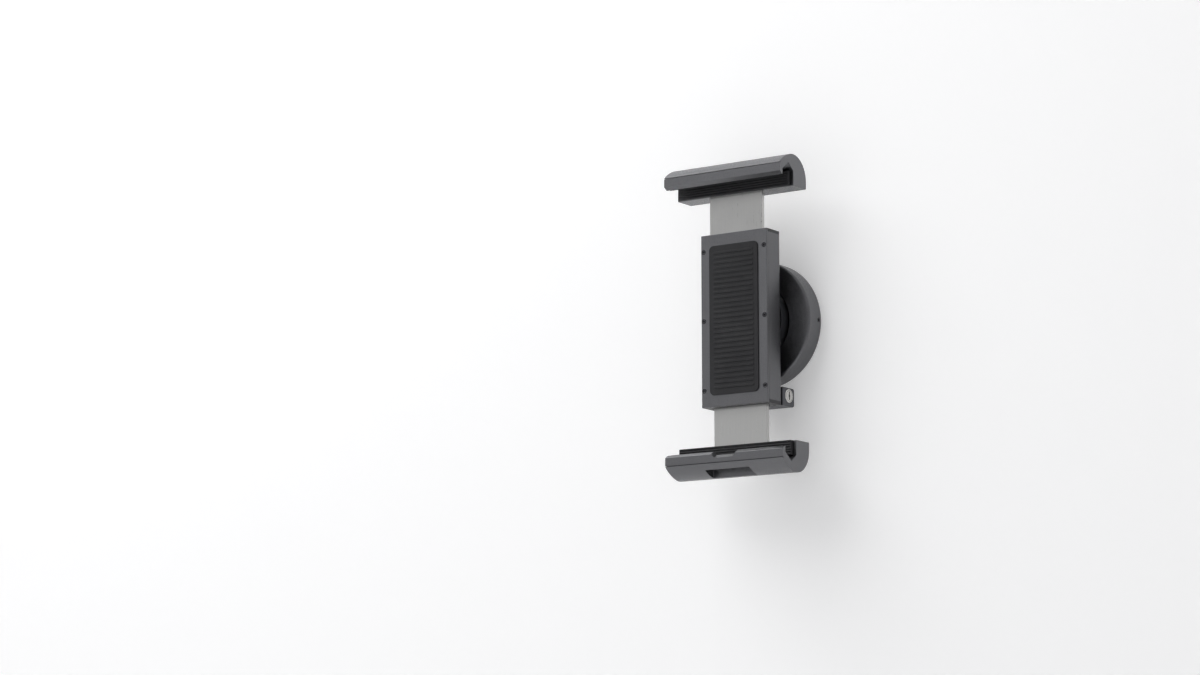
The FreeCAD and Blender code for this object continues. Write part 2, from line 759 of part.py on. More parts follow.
def lip_strip(name, left, right, low, high):
    body = new_body(name)
    sketch = front_sketch(body, "outline", glass + s["lip_gap"] - s["lip_pad"])
    pad(body, draw_box(sketch, left, right, low, high), s["lip_pad"])
    return body


def jaw_screws(name, side, tongue_depth):
    """The two set screws that clamp a tongue in its jaw."""
    length = tongue_depth - s["slide_gap"] - column_back
    height = side * (half_gap - s["set_screw_inset"])
    made = []
    for n, x in enumerate((-s["set_screw_spread"], s["set_screw_spread"])):
        spot = (x, -column_back, height)
        made.append(set_screw("%s_%d" % (name, n), spot, BACK, s["set_screw_radius"], length))
    return grouped(name, made)


def fork_outline(side):
    """Forked tongue in X and Z, drawn for the lower one. side 1 turns it half round for the upper one."""
    end = half_gap - s["block_reach"] + s["tongue_insert"] - s["slide_gap"]
    corners = [
        (-half_tongue, -end),
        (half_tongue, -end),
        (half_tongue, prong_end),
        (tip_line, prong_end),
        (tip_line, -rack_end),
        (half_slot, -rack_end),
        (half_slot, -slot_end),
        (-half_slot, -slot_end),
        (-half_slot, prong_end),
        (-half_tongue, prong_end),
    ]
    return [(-side * x, -side * z) for x, z in corners]


def rack_space(side):
    """The gap between two rack teeth at Z = 0, cut from the tip line to the root line."""
    past = s["gear_module"] / 2
    slope = tangent(s["pressure_angle"])
    at_pitch = (rack_pitch / 2 + s["backlash"]) / 2
    at_root = at_pitch - s["dedendum"] * s["gear_module"] * slope
    at_mouth = at_pitch + (s["addendum"] * s["gear_module"] + past) * slope
    mouth = tip_line - past
    corners = [(mouth, -at_mouth), (root_line, -at_root), (root_line, at_root), (mouth, at_mouth)]
    return [(-side * x, -side * z) for x, z in corners]


def tongue(name, side, depth):
    """Forked steel tongue with a rack along one prong."""
    body = new_body(name)
    pad(body, draw_loop(front_sketch(body, "fork", depth), fork_outline(side)), s["tongue_thickness"])
    reach = int(travel_in.value / rack_pitch.value) + 1
    past = int((prong_end.value + rack_pitch.value / 2) / rack_pitch.value)
    first = [(x, z + side * reach * rack_pitch) for x, z in rack_space(side)]
    space = draw_loop(front_sketch(body, "rack_space", depth + s["tongue_thickness"] + s["slide_gap"]), first)
    thick = s["tongue_thickness"] + 2 * s["slide_gap"]
    first_cut = pocket(body, space, thick, "first_rack_space")
    repeat_up(body, first_cut, reach + past + 1, rack_pitch, "rack_spaces", backwards=side > 0)
    return body


def upper_tongue():
    return finish(tongue("upper_tongue", 1, front_layer))


def lower_tongue():
    """The lower tongue's back also has the strip of small teeth that the lock bolt bites into."""
    body = tongue("lower_tongue", -1, rear_layer)
    left = bolt_centre - s["bolt_width"] / 2 - s["bolt_play"]
    groove = side_sketch(body, "strip_groove", left)
    spare = 2
    middle = -lock_axis_drop - travel_in - spare * s["strip_pitch"]
    half = s["strip_pitch"] / 2
    back = -rear_layer
    corners = [(back, middle - half), (back, middle + half), (back - s["strip_depth"], middle)]
    draw_loop(groove, corners)
    width = s["bolt_width"] + 2 * s["bolt_play"]
    first_cut = pocket(body, groove, width, "first_strip_groove", forwards=True)
    travel = travel_in.value + travel_out.value
    grooves = int(travel / s["strip_pitch"].value) + 2 * spare + 1
    repeat_up(body, first_cut, grooves, s["strip_pitch"], "strip_grooves")
    return finish(body)


def involute_flank(base, start_radius, tip_radius, turn, mirror):
    """Points on one tooth flank, from the root out.

    turn is the flank's angle where it leaves the base circle.
    """
    points = []
    steps = 5
    for step in range(steps + 1):
        radius = start_radius + (tip_radius - start_radius) * step / steps
        opening = math.acos(min(base / radius, 1.0))
        angle = turn - (math.tan(opening) - opening)
        points.append(Vector(radius * math.cos(angle), radius * math.sin(mirror * angle), 0))
    return points


def gear_outline():
    """The pinion's toothed outline in its own plane, one tooth on the X axis."""
    teeth = int(s["gear_teeth"].value)
    pitch = pitch_radius.value
    base = pitch * math.cos(math.radians(s["pressure_angle"].value))
    tip = tip_radius.value
    root = pitch - (s["dedendum"] * s["gear_module"]).value
    roll = math.tan(math.radians(s["pressure_angle"].value)) - math.radians(s["pressure_angle"].value)
    half_tooth = (rack_pitch.value - s["backlash"].value) / (4 * pitch)
    turn = half_tooth + roll
    start = max(base, root)
    lower = involute_flank(base, start, tip, turn, -1)
    upper = involute_flank(base, start, tip, turn, 1)
    foot = math.radians(180.0 / teeth)
    edges = []
    for number in range(teeth):
        spin = FreeCAD.Rotation(Vector(0, 0, 1), number * 360.0 / teeth)
        rising = [spin.multVec(point) for point in lower]
        falling = [spin.multVec(point) for point in reversed(upper)]
        root_low = spin.multVec(Vector(root * math.cos(turn), -root * math.sin(turn), 0))
        root_high = spin.multVec(Vector(root * math.cos(turn), root * math.sin(turn), 0))
        valley = spin.multVec(Vector(root * math.cos(foot), root * math.sin(foot), 0))
        next_spin = FreeCAD.Rotation(Vector(0, 0, 1), (number + 1) * 360.0 / teeth)
        next_low = next_spin.multVec(Vector(root * math.cos(turn), -root * math.sin(turn), 0))
        crown = spin.multVec(Vector(tip, 0, 0))
        edges.append(Part.makeLine(root_low, rising[0]))
        edges.append(curve_through(rising))
        edges.append(Part.Arc(rising[-1], crown, falling[0]).toShape())
        edges.append(curve_through(falling))
        edges.append(Part.makeLine(falling[-1], root_high))
        edges.append(Part.Arc(root_high, valley, next_low).toShape())
    return Part.Wire(edges)


def curve_through(points):
    curve = Part.BSplineCurve()
    curve.interpolate(points)
    return curve.toShape()


def drive_pinion():
    """Involute pinion that meshes with both racks, with a hub at each face and a bore for its shaft."""
    back = rear_layer.value + s["slide_gap"].value
    front = front_layer.value + s["tongue_thickness"].value - s["slide_gap"].value
    hub_back = rail_back.value + s["slide_gap"].value
    hub_front_end = cover_back.value - s["slide_gap"].value
    hub_radius = s["shaft_radius"].value + s["hub_wall"].value
    bore = s["shaft_radius"].value + s["running_gap"].value
    wheel = Part.Face(gear_outline()).extrude(Vector(0, 0, front - back))
    wheel.translate(Vector(0, 0, back))
    hub = Part.makeCylinder(hub_radius, hub_front_end - hub_back, Vector(0, 0, hub_back))
    hole = Part.makeCylinder(bore, hub_front_end, Vector(0, 0, 0))
    item = doc.addObject("Part::Feature", "drive_pinion")
    item.Shape = wheel.fuse(hub).cut(hole).removeSplitter()
    item.Placement = FreeCAD.Placement(Vector(0, 0, 0), FreeCAD.Rotation(Vector(1, 0, 0), 90))
    return finish(item)


def pinion_shaft():
    """Steel pin from the bridge into the front cover."""
    front = cover_back + s["cover_thickness"] / 2
    return finish(rod("pinion_shaft", s["shaft_radius"], front - bridge_back, (0, -front, 0), FRONT))


def bridge_spots():
    x = (shoulder_inside + wall_inside) / 2
    return mirrored(x, s["bridge_length"] / 2 - s["bridge_screw_inset"])


def bearing_bridge():
    """Plate across the housing that carries the pinion shaft's rear end."""
    body = new_body("bearing_bridge")
    half = wall_inside - s["slide_gap"]
    rise = s["bridge_length"] / 2
    plate = draw_box(front_sketch(body, "plate", bridge_back), -half, half, -rise, rise)
    pad(body, plate, s["bridge_thickness"])
    bore = draw_circles(front_sketch(body, "bore", rail_back), [(0, 0)], s["shaft_radius"] + s["screw_gap"])
    pocket(body, bore, s["bridge_thickness"] + s["overshoot"], "shaft_bore")
    holes = front_sketch(body, "screws", rail_back)
    draw_circles(holes, bridge_spots(), s["cover_screw_radius"] + s["screw_gap"])
    drill(body, holes, s["cover_screw_radius"] + s["screw_gap"], "screw_holes", head=s["cover_screw_head"])
    return finish(body)


def bridge_screws():
    length = s["bridge_thickness"] + s["bridge_tap"] - s["screw_end_gap"]
    return screws("bridge_screws", at_depth(bridge_spots(), rail_back), FRONT,
                  s["cover_screw_radius"], s["cover_screw_head"], length)


def turntable_spots():
    return around(turntable_screw_circle, TURNTABLE_SCREW_ANGLES)


def lock_screw_spots():
    height = -(lock_top + lock_bottom) / 2
    first = s["lock_screw_inset"] - s["lock_left"]
    return [(first, height), (first + s["lock_screw_spacing"], height)]


def cap_screw_spots():
    """End cap screws in X and Y, in the housing's thick corners."""
    depth = (column_back + rail_back) / 2
    return [(-shoulder_middle, -depth), (shoulder_middle, -depth)]


def cover_screw_spots():
    far = half_length - s["cover_screw_inset"]
    return [(side * side_wall_middle, z) for side in (-1, 1) for z in (-far, 0, far)]


def back_shell():
    """Extruded channel that everything in the column is mounted in, open at the front."""
    body = new_body("back_shell")
    back = -column_back
    corner = s["column_corner"]
    corners = [
        (-half_width + corner, back),
        (-half_width, back - corner),
        (-half_width, -cover_back),
        (-wall_inside, -cover_back),
        (-wall_inside, -rail_back),
        (-shoulder_inside, -rail_back),
        (-shoulder_inside, -inner_back),
        (shoulder_inside, -inner_back),
        (shoulder_inside, -rail_back),
        (wall_inside, -rail_back),
        (wall_inside, -cover_back),
        (half_width, -cover_back),
        (half_width, back - corner),
        (half_width - corner, back),
    ]
    arcs = {0: (corner, 1), 12: (corner, 1)}
    section = draw_loop(level_sketch(body, "section", -shell_end), corners, arcs)
    pad(body, section, 2 * shell_end)
    seat_depth = s["bridge_thickness"] + s["slide_gap"]
    seat = front_sketch(body, "bridge_seat", rail_back + s["slide_gap"])
    rise = s["bridge_length"] / 2 + s["slide_gap"]
    draw_box(seat, -wall_inside, wall_inside, -rise, rise)
    pocket(body, seat, seat_depth, "bridge_seat_cut")
    tapped = front_sketch(body, "bridge_taps", bridge_back)
    draw_circles(tapped, bridge_spots(), s["cover_screw_radius"] + s["screw_gap"])
    drill(body, tapped, s["cover_screw_radius"] + s["screw_gap"], "bridge_tap_holes", depth=s["bridge_tap"])
    swivel = draw_circles(front_sketch(body, "swivel", inner_back), [(0, 0)], spring_bore)
    pocket(body, swivel, s["back_wall"] + s["overshoot"], "swivel_hole")
    held = front_sketch(body, "turntable_screws", inner_back)
    draw_circles(held, turntable_spots() + lock_screw_spots(), s["small_screw_radius"] + s["screw_gap"])
    drill(body, held, s["small_screw_radius"] + s["screw_gap"], "screw_holes", head=s["small_screw_head"])
    slot = front_sketch(body, "bolt_slot", inner_back)
    draw_bolt_guide(slot)
    pocket(body, slot, s["back_wall"] + s["overshoot"], "lock_bolt_slot")
    for name, height, forwards in (("top", shell_end, False), ("bottom", -shell_end, True)):
        ends = level_sketch(body, name + "_taps", height)
        draw_circles(ends, cap_screw_spots(), s["cap_screw_radius"] + s["screw_gap"])
        drill(body, ends, s["cap_screw_radius"] + s["screw_gap"], name + "_tap_holes",
              depth=s["cap_screw_length"] - s["cap_thickness"] + s["screw_end_gap"], forwards=forwards)
    front = front_sketch(body, "cover_taps", cover_back)
    draw_circles(front, cover_screw_spots(), s["cover_screw_radius"] + s["screw_gap"])
    drill(body, front, s["cover_screw_radius"] + s["screw_gap"], "cover_tap_holes",
          depth=s["cover_screw_length"] - s["cover_thickness"] + s["screw_end_gap"])
    return finish(body)


def draw_bolt_guide(sketch):
    half = s["bolt_width"] / 2 + s["bolt_play"]
    rise = s["bolt_height"] / 2 + s["bolt_play"]
    return draw_box(sketch, bolt_centre - half, bolt_centre + half,
                    -lock_axis_drop - rise, -lock_axis_drop + rise)


def front_cover():
    """Plate over the column's open front, under the rubber pad."""
    body = new_body("front_cover")
    edge = s["cover_edge"]
    corners = [
        (-half_width, -cover_back),
        (-half_width, edge - cover_front),
        (edge - half_width, -cover_front),
        (half_width - edge, -cover_front),
        (half_width, edge - cover_front),
        (half_width, -cover_back),
    ]
    section = draw_loop(level_sketch(body, "section", -half_length), corners, {1: (edge, 1), 3: (edge, 1)})
    pad(body, section, 2 * half_length)
    bore = draw_circles(front_sketch(body, "bore", cover_back), [(0, 0)], s["shaft_radius"] + s["screw_gap"])
    pocket(body, bore, s["cover_thickness"] / 2 + s["slide_gap"], "shaft_bore", forwards=True)
    holes = front_sketch(body, "screws", cover_front)
    draw_circles(holes, cover_screw_spots(), s["cover_screw_radius"] + s["screw_gap"])
    drill(body, holes, s["cover_screw_radius"] + s["screw_gap"], "screw_holes", head=s["cover_screw_head"])
    return finish(body)


def cover_screws():
    return screws("cover_screws", at_depth(cover_screw_spots(), cover_front), FRONT,
                  s["cover_screw_radius"], s["cover_screw_head"], s["cover_screw_length"])


def back_pad():
    """Rubber sheet that the device's back lies against."""
    body = new_body("back_pad")
    half = s["back_pad_width"] / 2
    rise = s["back_pad_length"] / 2
    corner = s["back_pad_corner"]
    corners = [
        (corner - half, -rise), (half - corner, -rise), (half, corner - rise), (half, rise - corner),
        (half - corner, rise), (corner - half, rise), (-half, rise - corner), (-half, corner - rise),
    ]
    arcs = {side: (corner, 1) for side in (1, 3, 5, 7)}
    pad(body, draw_loop(front_sketch(body, "outline", cover_front), corners, arcs), s["back_pad"])
    return finish(body)


def end_cap(name, side, tongue_depth):
    """End plate with the slot that one tongue passes through."""
    body = new_body(name)
    corner = s["column_corner"]
    back = -column_back
    corners = [
        (-half_width + corner, back), (-half_width, back - corner), (-half_width, -cover_back),
        (half_width, -cover_back), (half_width, back - corner), (half_width - corner, back),
    ]
    low = shell_end if side > 0 else -half_length
    section = draw_loop(level_sketch(body, "section", low), corners, {0: (corner, 1), 4: (corner, 1)})
    pad(body, section, s["cap_thickness"])
    wide = rail_inside
    near = -(tongue_depth - 2 * s["slide_gap"])
    far = -(tongue_depth + s["tongue_thickness"] + 2 * s["slide_gap"])
    slot = draw_box(level_sketch(body, "slot", low), -wide, wide, far, near)
    pocket(body, slot, s["cap_thickness"] + s["overshoot"], "tongue_slot", forwards=True)
    holes = level_sketch(body, "screws", side * half_length)
    draw_circles(holes, cap_screw_spots(), s["cap_screw_radius"] + s["screw_gap"])
    drill(body, holes, s["cap_screw_radius"] + s["screw_gap"], "screw_holes",
          head=s["cap_screw_head"], forwards=side < 0)
    return finish(body)


def end_cap_screws():
    made = []
    for name, side, facing in (("upper", 1, UP), ("lower", -1, DOWN)):
        for n, (x, y) in enumerate(cap_screw_spots()):
            spot = (x, y, side * half_length)
            made.append(screw("end_cap_screw_%s_%d" % (name, n), spot, facing,
                              s["cap_screw_radius"], s["cap_screw_head"], s["cap_screw_length"]))
    return grouped("end_cap_screws", made)


def guide_rail(name, side):
    """Plastic runner with a slot for each tongue's edge."""
    body = new_body(name)
    outer = wall_inside - s["slide_gap"]
    reach = outer - s["rail_width"]
    lower_front = rear_layer + s["tongue_thickness"]
    depths = [
        rail_back,
        rear_layer - s["slide_gap"],
        lower_front + s["slide_gap"],
        front_layer - s["slide_gap"],
        front_layer + s["tongue_thickness"] + s["slide_gap"],
        cover_back - s["slide_gap"],
    ]
    corners = [(outer, depths[0]), (reach, depths[0])]
    for n in (1, 3):
        slot = (depths[n], depths[n + 1])
        corners += [(reach, slot[0]), (rail_inside, slot[0]), (rail_inside, slot[1]), (reach, slot[1])]
    corners += [(reach, depths[5]), (outer, depths[5])]
    section = level_sketch(body, "section", s["slide_gap"] - shell_end)
    draw_loop(section, [(side * x, -depth) for x, depth in corners])
    pad(body, section, 2 * (shell_end - s["slide_gap"]))
    return body


def guide_rails():
    return grouped("guide_rails", [guide_rail("guide_rail_left", -1), guide_rail("guide_rail_right", 1)])


def brake_place():
    """The brake's left and right side and its low and high end."""
    left = s["slide_gap"] - shoulder_inside
    high = -s["bridge_length"] / 2 - s["brake_gap"]
    return left, left + s["brake_width"], high - s["brake_length"], high


def brake_shoe():
    """Plastic block that rubs on the lower tongue's back."""
    body = new_body("brake_shoe")
    left, right, low, high = brake_place()
    back = rear_layer - s["running_gap"] - s["brake_shoe"]
    pad(body, draw_box(front_sketch(body, "outline", back), left, right, low, high), s["brake_shoe"])
    return finish(body)


def brake_spring():
    """Bowed leaf between the back wall and the brake shoe."""
    body = new_body("brake_spring")
    left, _, low, high = brake_place()
    seat = inner_back + s["running_gap"]
    crown = rear_layer - 2 * s["running_gap"] - s["brake_shoe"]
    rise = crown - seat - s["brake_leaf"]
    half = s["brake_length"] / 2 - s["leaf_inset"]
    bow = (half * half + rise * rise) / (2 * rise)
    middle = (low + high) / 2
    corners = [
        (-seat, middle - half),
        (-seat, middle + half),
        (-(seat + s["brake_leaf"]), middle + half),
        (-(seat + s["brake_leaf"]), middle - half),
    ]
    sketch = side_sketch(body, "bow", left)
    draw_loop(sketch, corners, {0: (bow, -1), 2: (bow, 1)})
    pad(body, sketch, s["brake_width"])
    return finish(body)


def ring(name, corners):
    """A turned piece: each corner is a depth from the wall and a radius."""
    body = new_body(name)
    outline = [(-as_size(depth), radius) for depth, radius in corners]
    revolve(body, draw_loop(side_sketch(body, "section"), outline))
    return body


def wall_flange():
    """Round plate on the wall, with the thrust shoulder, journal and pilot turned on it."""
    body = ring("wall_flange", [
        (0, 0),
        (0, flange_radius),
        (s["flange_thickness"], flange_radius),
        (s["flange_thickness"], hub_radius),
        (hub_front, hub_radius),
        (hub_front, s["journal_radius"]),
        (journal_front, s["journal_radius"]),
        (journal_front, s["pilot_radius"]),
        (pilot_front, s["pilot_radius"]),
        (pilot_front, 0),
    ])
    holes = front_sketch(body, "wall_screws", s["flange_thickness"])
    draw_circles(holes, around(s["wall_screw_circle"], WALL_SCREW_ANGLES), s["wall_screw_radius"])
    drill(body, holes, s["wall_screw_radius"], "wall_screw_holes", head=s["wall_screw_head"])
    tapped = front_sketch(body, "bolt", pilot_front)
    draw_circles(tapped, [(0, 0)], s["bolt_radius"] + s["screw_gap"])
    pocket(body, tapped, pilot_front - s["bolt_end"], "bolt_hole")
    cut_grub_holes(body, flange_radius)
    return finish(body)


def cut_grub_holes(body, rim):
    """Holes from the left and right edges for the rosette's grub screws."""
    middle = (-s["flange_thickness"] / 2, 0)
    for name, side in (("left", -1), ("right", 1)):
        sketch = side_sketch(body, name + "_grub", side * (rim + s["screw_gap"]))
        draw_circles(sketch, [middle], s["grub_radius"] + s["screw_gap"])
        depth = rim - rosette_radius + s["grub_length"] + 2 * s["screw_gap"]
        pocket(body, sketch, depth, name + "_grub_hole", forwards=side < 0)


def base_rosette():
    """Round cover over the wall flange and its screws."""
    outer = rosette_radius
    inner = outer - s["rosette_wall"]
    plate = s["rosette_depth"] - s["rosette_wall"]
    edge = s["rosette_wall"]
    body = new_body("base_rosette")
    back = s["rosette_lift"]
    corners = [
        (-back, inner),
        (-back, outer),
        (edge - s["rosette_depth"], outer),
        (-s["rosette_depth"], outer - edge),
        (-s["rosette_depth"], rosette_opening),
        (-plate, rosette_opening),
        (-plate, inner),
    ]
    revolve(body, draw_loop(side_sketch(body, "section"), corners, {2: (edge, 1)}))
    cut_grub_holes(body, rosette_radius)
    return finish(body)


def rosette_screws():
    depth = -s["flange_thickness"] / 2
    made = []
    for name, side, facing in (("left", -1, LEFT), ("right", 1, RIGHT)):
        spot = (side * rosette_radius, depth, 0)
        made.append(set_screw("rosette_screw_" + name, spot, facing, s["grub_radius"], s["grub_length"]))
    return grouped("rosette_screws", made)


def bearing_bush():
    """Flanged plastic bush between journal and turntable."""
    back = hub_front + s["running_gap"]
    return finish(ring("bearing_bush", [
        (back, bush_bore),
        (back, bush_flange_radius),
        (turntable_back, bush_flange_radius),
        (turntable_back, bush_outside),
        (pocket_depth, bush_outside),
        (pocket_depth, bush_bore),
    ]))


def turntable():
    """The turning half of the swivel, screwed to the column's back."""
    body = ring("turntable", [
        (turntable_back, bush_outside),
        (turntable_back, turntable_radius),
        (column_back, turntable_radius),
        (column_back, spring_bore),
        (pocket_depth, spring_bore),
        (pocket_depth, bush_outside),
    ])
    taps = front_sketch(body, "screws", column_back)
    draw_circles(taps, turntable_spots(), s["small_screw_radius"] + s["screw_gap"])
    drill(body, taps, s["small_screw_radius"] + s["screw_gap"], "tap_holes",
          depth=column_back - turntable_back - s["turntable_floor"])
    return finish(body)


def turntable_screws():
    length = inner_back - turntable_back - s["turntable_floor"] - s["screw_end_gap"]
    return screws("turntable_screws", at_depth(turntable_spots(), inner_back), FRONT,
                  s["small_screw_radius"], s["small_screw_head"], length)


def friction_washer():
    """Fibre washer that brakes the swivel."""
    back = pocket_depth + s["running_gap"]
    rim = spring_bore - s["washer_gap"]
    inner = s["journal_radius"] + s["slide_gap"]
    front = back + s["friction_washer"]
    return finish(ring("friction_washer", [(back, inner), (back, rim), (front, rim), (front, inner)]))


def disc_spring():
    """Coned steel spring that loads the friction washer."""
    back = journal_front + s["screw_gap"]
    inner = s["pilot_radius"] + s["slide_gap"]
    rim = spring_bore - s["washer_gap"] - s["slide_gap"]
    return finish(ring("disc_spring", [
        (back, rim),
        (back + s["disc_spring"], rim),
        (back + s["disc_spring"] + s["disc_cone"], inner),
        (back + s["disc_cone"], inner),
    ]))


def retaining_washer():
    """Stiff washer that the pivot bolt holds against the pilot."""
    back = pilot_front + s["screw_gap"]
    front = back + s["retaining_washer"]
    inner = s["bolt_radius"] + s["slide_gap"]
    rim = s["retaining_radius"]
    return finish(ring("retaining_washer", [(back, inner), (back, rim), (front, rim), (front, inner)]))


def pivot_bolt():
    """Bolt that holds the turntable on the journal."""
    spot = (0, -bolt_front, 0)
    length = bolt_front - s["bolt_end"] - s["screw_end_gap"]
    shank = rod("pivot_bolt_shank", s["bolt_radius"], length, spot, FRONT)
    head = rod("pivot_bolt_head", s["bolt_head_radius"], s["bolt_head_height"], spot, FRONT)
    recess = hexagon("pivot_bolt_recess", s["bolt_recess"], s["bolt_head_height"] / 2, spot, FRONT)
    return finish(cut("pivot_bolt", joined("pivot_bolt_blank", [shank, head]), recess))


def lock_housing():
    """Block on the column's back, below the swivel, with the bore for the barrel and the cam's chamber."""
    body = new_body("lock_housing")
    back = column_back - lock_depth
    outline = front_sketch(body, "outline", back)
    draw_box(outline, -s["lock_left"], half_width, -lock_bottom, -lock_top)
    pad(body, outline, lock_depth)
    chamber = front_sketch(body, "chamber", column_back)
    wall = s["lock_wall"]
    left = cam_left - s["cam_screw_height"] - 2 * s["cam_gap"]
    draw_box(chamber, left, cam_right, wall - lock_bottom, -lock_top - wall)
    pocket(body, chamber, s["lock_axis_behind"] + cam_reach, "cam_chamber")
    axis = (-lock_axis_depth, -lock_axis_drop)
    neck = draw_circles(side_sketch(body, "neck", half_width), [axis], s["barrel_neck"] + s["running_gap"])
    pocket(body, neck, half_width - bolt_centre, "neck_bore")
    bore = draw_circles(side_sketch(body, "bore", half_width), [axis], s["barrel_radius"] + s["running_gap"])
    pocket(body, bore, half_width - barrel_shoulder, "barrel_bore")
    taps = front_sketch(body, "screws", column_back)
    draw_circles(taps, lock_screw_spots(), s["small_screw_radius"] + s["screw_gap"])
    drill(body, taps, s["small_screw_radius"] + s["screw_gap"], "tap_holes", depth=lock_depth / 2)
    return finish(body)


def lock_screws():
    return screws("lock_screws", at_depth(lock_screw_spots(), inner_back), FRONT,
                  s["small_screw_radius"], s["small_screw_head"],
                  lock_depth / 2 + s["back_wall"] - s["screw_end_gap"])


def lock_axis(x):
    return (x, -lock_axis_depth, -lock_axis_drop)


def lock_barrel():
    """Key barrel: its face shows at the housing's right side, with a slot for the key."""
    face = half_width + s["barrel_proud"]
    wide = barrel_shoulder + s["running_gap"]
    inner = cam_right + s["running_gap"]
    barrel = rod("lock_barrel_wide", s["barrel_radius"], face - wide, lock_axis(face), RIGHT)
    neck = rod("lock_barrel_neck", s["barrel_neck"], wide - inner, lock_axis(wide), RIGHT)
    slot = doc.addObject("Part::Box", "lock_barrel_keyway")
    tie(slot, "Length", s["keyway_depth"] + s["overshoot"])
    tie(slot, "Width", s["keyway_width"])
    tie(slot, "Height", s["keyway_height"])
    tie(slot, ".Placement.Base.x", face - s["keyway_depth"])
    tie(slot, ".Placement.Base.y", -lock_axis_depth - s["keyway_width"] / 2)
    tie(slot, ".Placement.Base.z", -lock_axis_drop - s["keyway_height"] / 2)
    hole_end = lock_axis(inner + s["cam_tap"])
    hole = rod("lock_barrel_tap", s["cover_screw_radius"] + s["screw_gap"],
               s["cam_tap"] + s["overshoot"], hole_end, RIGHT)
    blank = joined("lock_barrel_blank", [barrel, neck])
    return finish(cut("lock_barrel", cut("lock_barrel_slotted", blank, slot), hole))


def lock_cam():
    """Cam whose radius grows evenly over a quarter turn, from the front down, so that the bolt keeps pace."""
    base = s["cam_base"].value
    rise = s["cam_rise"].value
    width = s["cam_width"].value
    steps = 8
    quarter = math.radians(90)
    points = []
    for step in range(steps + 1):
        share = step / steps
        angle = quarter * share
        radius = base + rise * share
        points.append(Vector(radius * math.cos(angle), radius * math.sin(angle), 0))
    spiral = curve_through(points)
    nose = quarter + math.radians(s["cam_nose"].value)
    nose_end = Vector(base * math.cos(nose), base * math.sin(nose), 0)
    flank = Part.makeLine(points[-1], nose_end)
    rest = Part.Arc(nose_end, Vector(0, -base, 0), points[0]).toShape()
    rim = Part.Wire([spiral, flank, rest])
    cam = Part.Face(rim).extrude(Vector(0, 0, width))
    bore = Part.makeCylinder(s["cover_screw_radius"].value + s["screw_gap"].value, width)
    item = doc.addObject("Part::Feature", "lock_cam")
    item.Shape = cam.cut(bore)
    # The cam's own X turns to face the front, its own Y to face down, and its own Z to face right.
    turn = FreeCAD.Rotation(Vector(0, -1, 0), Vector(0, 0, -1), Vector(1, 0, 0), "ZXY")
    item.Placement = FreeCAD.Placement(Vector(0, 0, 0), turn)
    for axis, place in zip("xyz", lock_axis(cam_left)):
        tie(item, ".Placement.Base.%s" % axis, place)
    return finish(item)


def cam_screw():
    """Screw that holds the cam on the barrel's inner end."""
    head_height = s["cam_screw_height"]
    spot = lock_axis(cam_left - s["screw_gap"] - head_height)
    length = head_height + s["cam_width"] + s["cam_tap"] - s["screw_end_gap"]
    head = rod("cam_screw_head", s["cam_screw_head"], head_height, spot, LEFT)
    shank = rod("cam_screw_shank", s["cover_screw_radius"], length, spot, LEFT)
    recess_radius = s["cover_screw_radius"] * s["screw_recess"]
    recess = hexagon("cam_screw_recess", recess_radius, head_height / 2, spot, LEFT)
    return finish(cut("cam_screw", joined("cam_screw_blank", [head, shank]), recess))


def lock_bolt():
    """Sliding bolt: a narrow foot on the cam, and small teeth that bite into the lower tongue's strip."""
    body = new_body("lock_bolt")
    half = s["bolt_height"] / 2
    foot = s["bolt_foot"]
    shoulder = foot_depth + half - foot
    tooth_root = nose_depth - s["strip_depth"] + s["slide_gap"]
    drop = -lock_axis_drop
    pitch = s["strip_pitch"]
    corners = [
        (foot_depth, drop - foot),
        (foot_depth, drop + foot),
        (shoulder, drop + half),
        (tooth_root, drop + half),
    ]
    for step in (1, 0, -1):
        corners.append((tooth_root, drop + step * pitch + pitch / 2 - s["slide_gap"]))
        corners.append((nose_depth, drop + step * pitch))
        corners.append((tooth_root, drop + step * pitch - pitch / 2 + s["slide_gap"]))
    corners += [(tooth_root, drop - half), (shoulder, drop - half)]
    kept = [corner for n, corner in enumerate(corners) if n == 0 or not same_place(corner, corners[n - 1])]
    section = side_sketch(body, "section", bolt_centre - s["bolt_width"] / 2)
    draw_loop(section, [(-depth, z) for depth, z in kept])
    pad(body, section, s["bolt_width"])
    return finish(body)


def same_place(one, other):
    return (plain(one) - plain(other)).Length < 1e-6


def make_parts():
    """Every separate piece of the mount, from the wall to the jaws."""
    return [
        wall_flange(),
        base_rosette(),
        rosette_screws(),
        friction_washer(),
        disc_spring(),
        retaining_washer(),
        pivot_bolt(),
        bearing_bush(),
        turntable(),
        turntable_screws(),
        back_shell(),
        front_cover(),
        cover_screws(),
        back_pad(),
        end_cap("end_cap_upper", 1, front_layer),
        end_cap("end_cap_lower", -1, rear_layer),
        end_cap_screws(),
        guide_rails(),
        bearing_bridge(),
        bridge_screws(),
        pinion_shaft(),
        brake_spring(),
        brake_shoe(),
        drive_pinion(),
        lock_housing(),
        lock_screws(),
        lock_barrel(),
        lock_cam(),
        cam_screw(),
        lock_bolt(),
        upper_jaw_clamp(),
        upper_tongue(),
        jaw_screws("upper_jaw_screws", 1, front_layer),
        jaw_back_pad("upper_back_pad", 1),
        jaw_lip_pad("upper_lip_pad", 1, notch=False),
        lower_jaw_clamp(),
        lower_tongue(),
        jaw_screws("lower_jaw_screws", -1, rear_layer),
        jaw_back_pad("lower_back_pad", -1),
        jaw_lip_pad("lower_lip_pad", -1, notch=True),
    ]


def check_document():
    """Stop if any object in the document failed to recompute."""
    doc.recompute()
    for item in doc.Objects:
        if "Invalid" in item.State or "Error" in item.State:
            raise RuntimeError("%s failed: %s" % (item.Name, item.State))


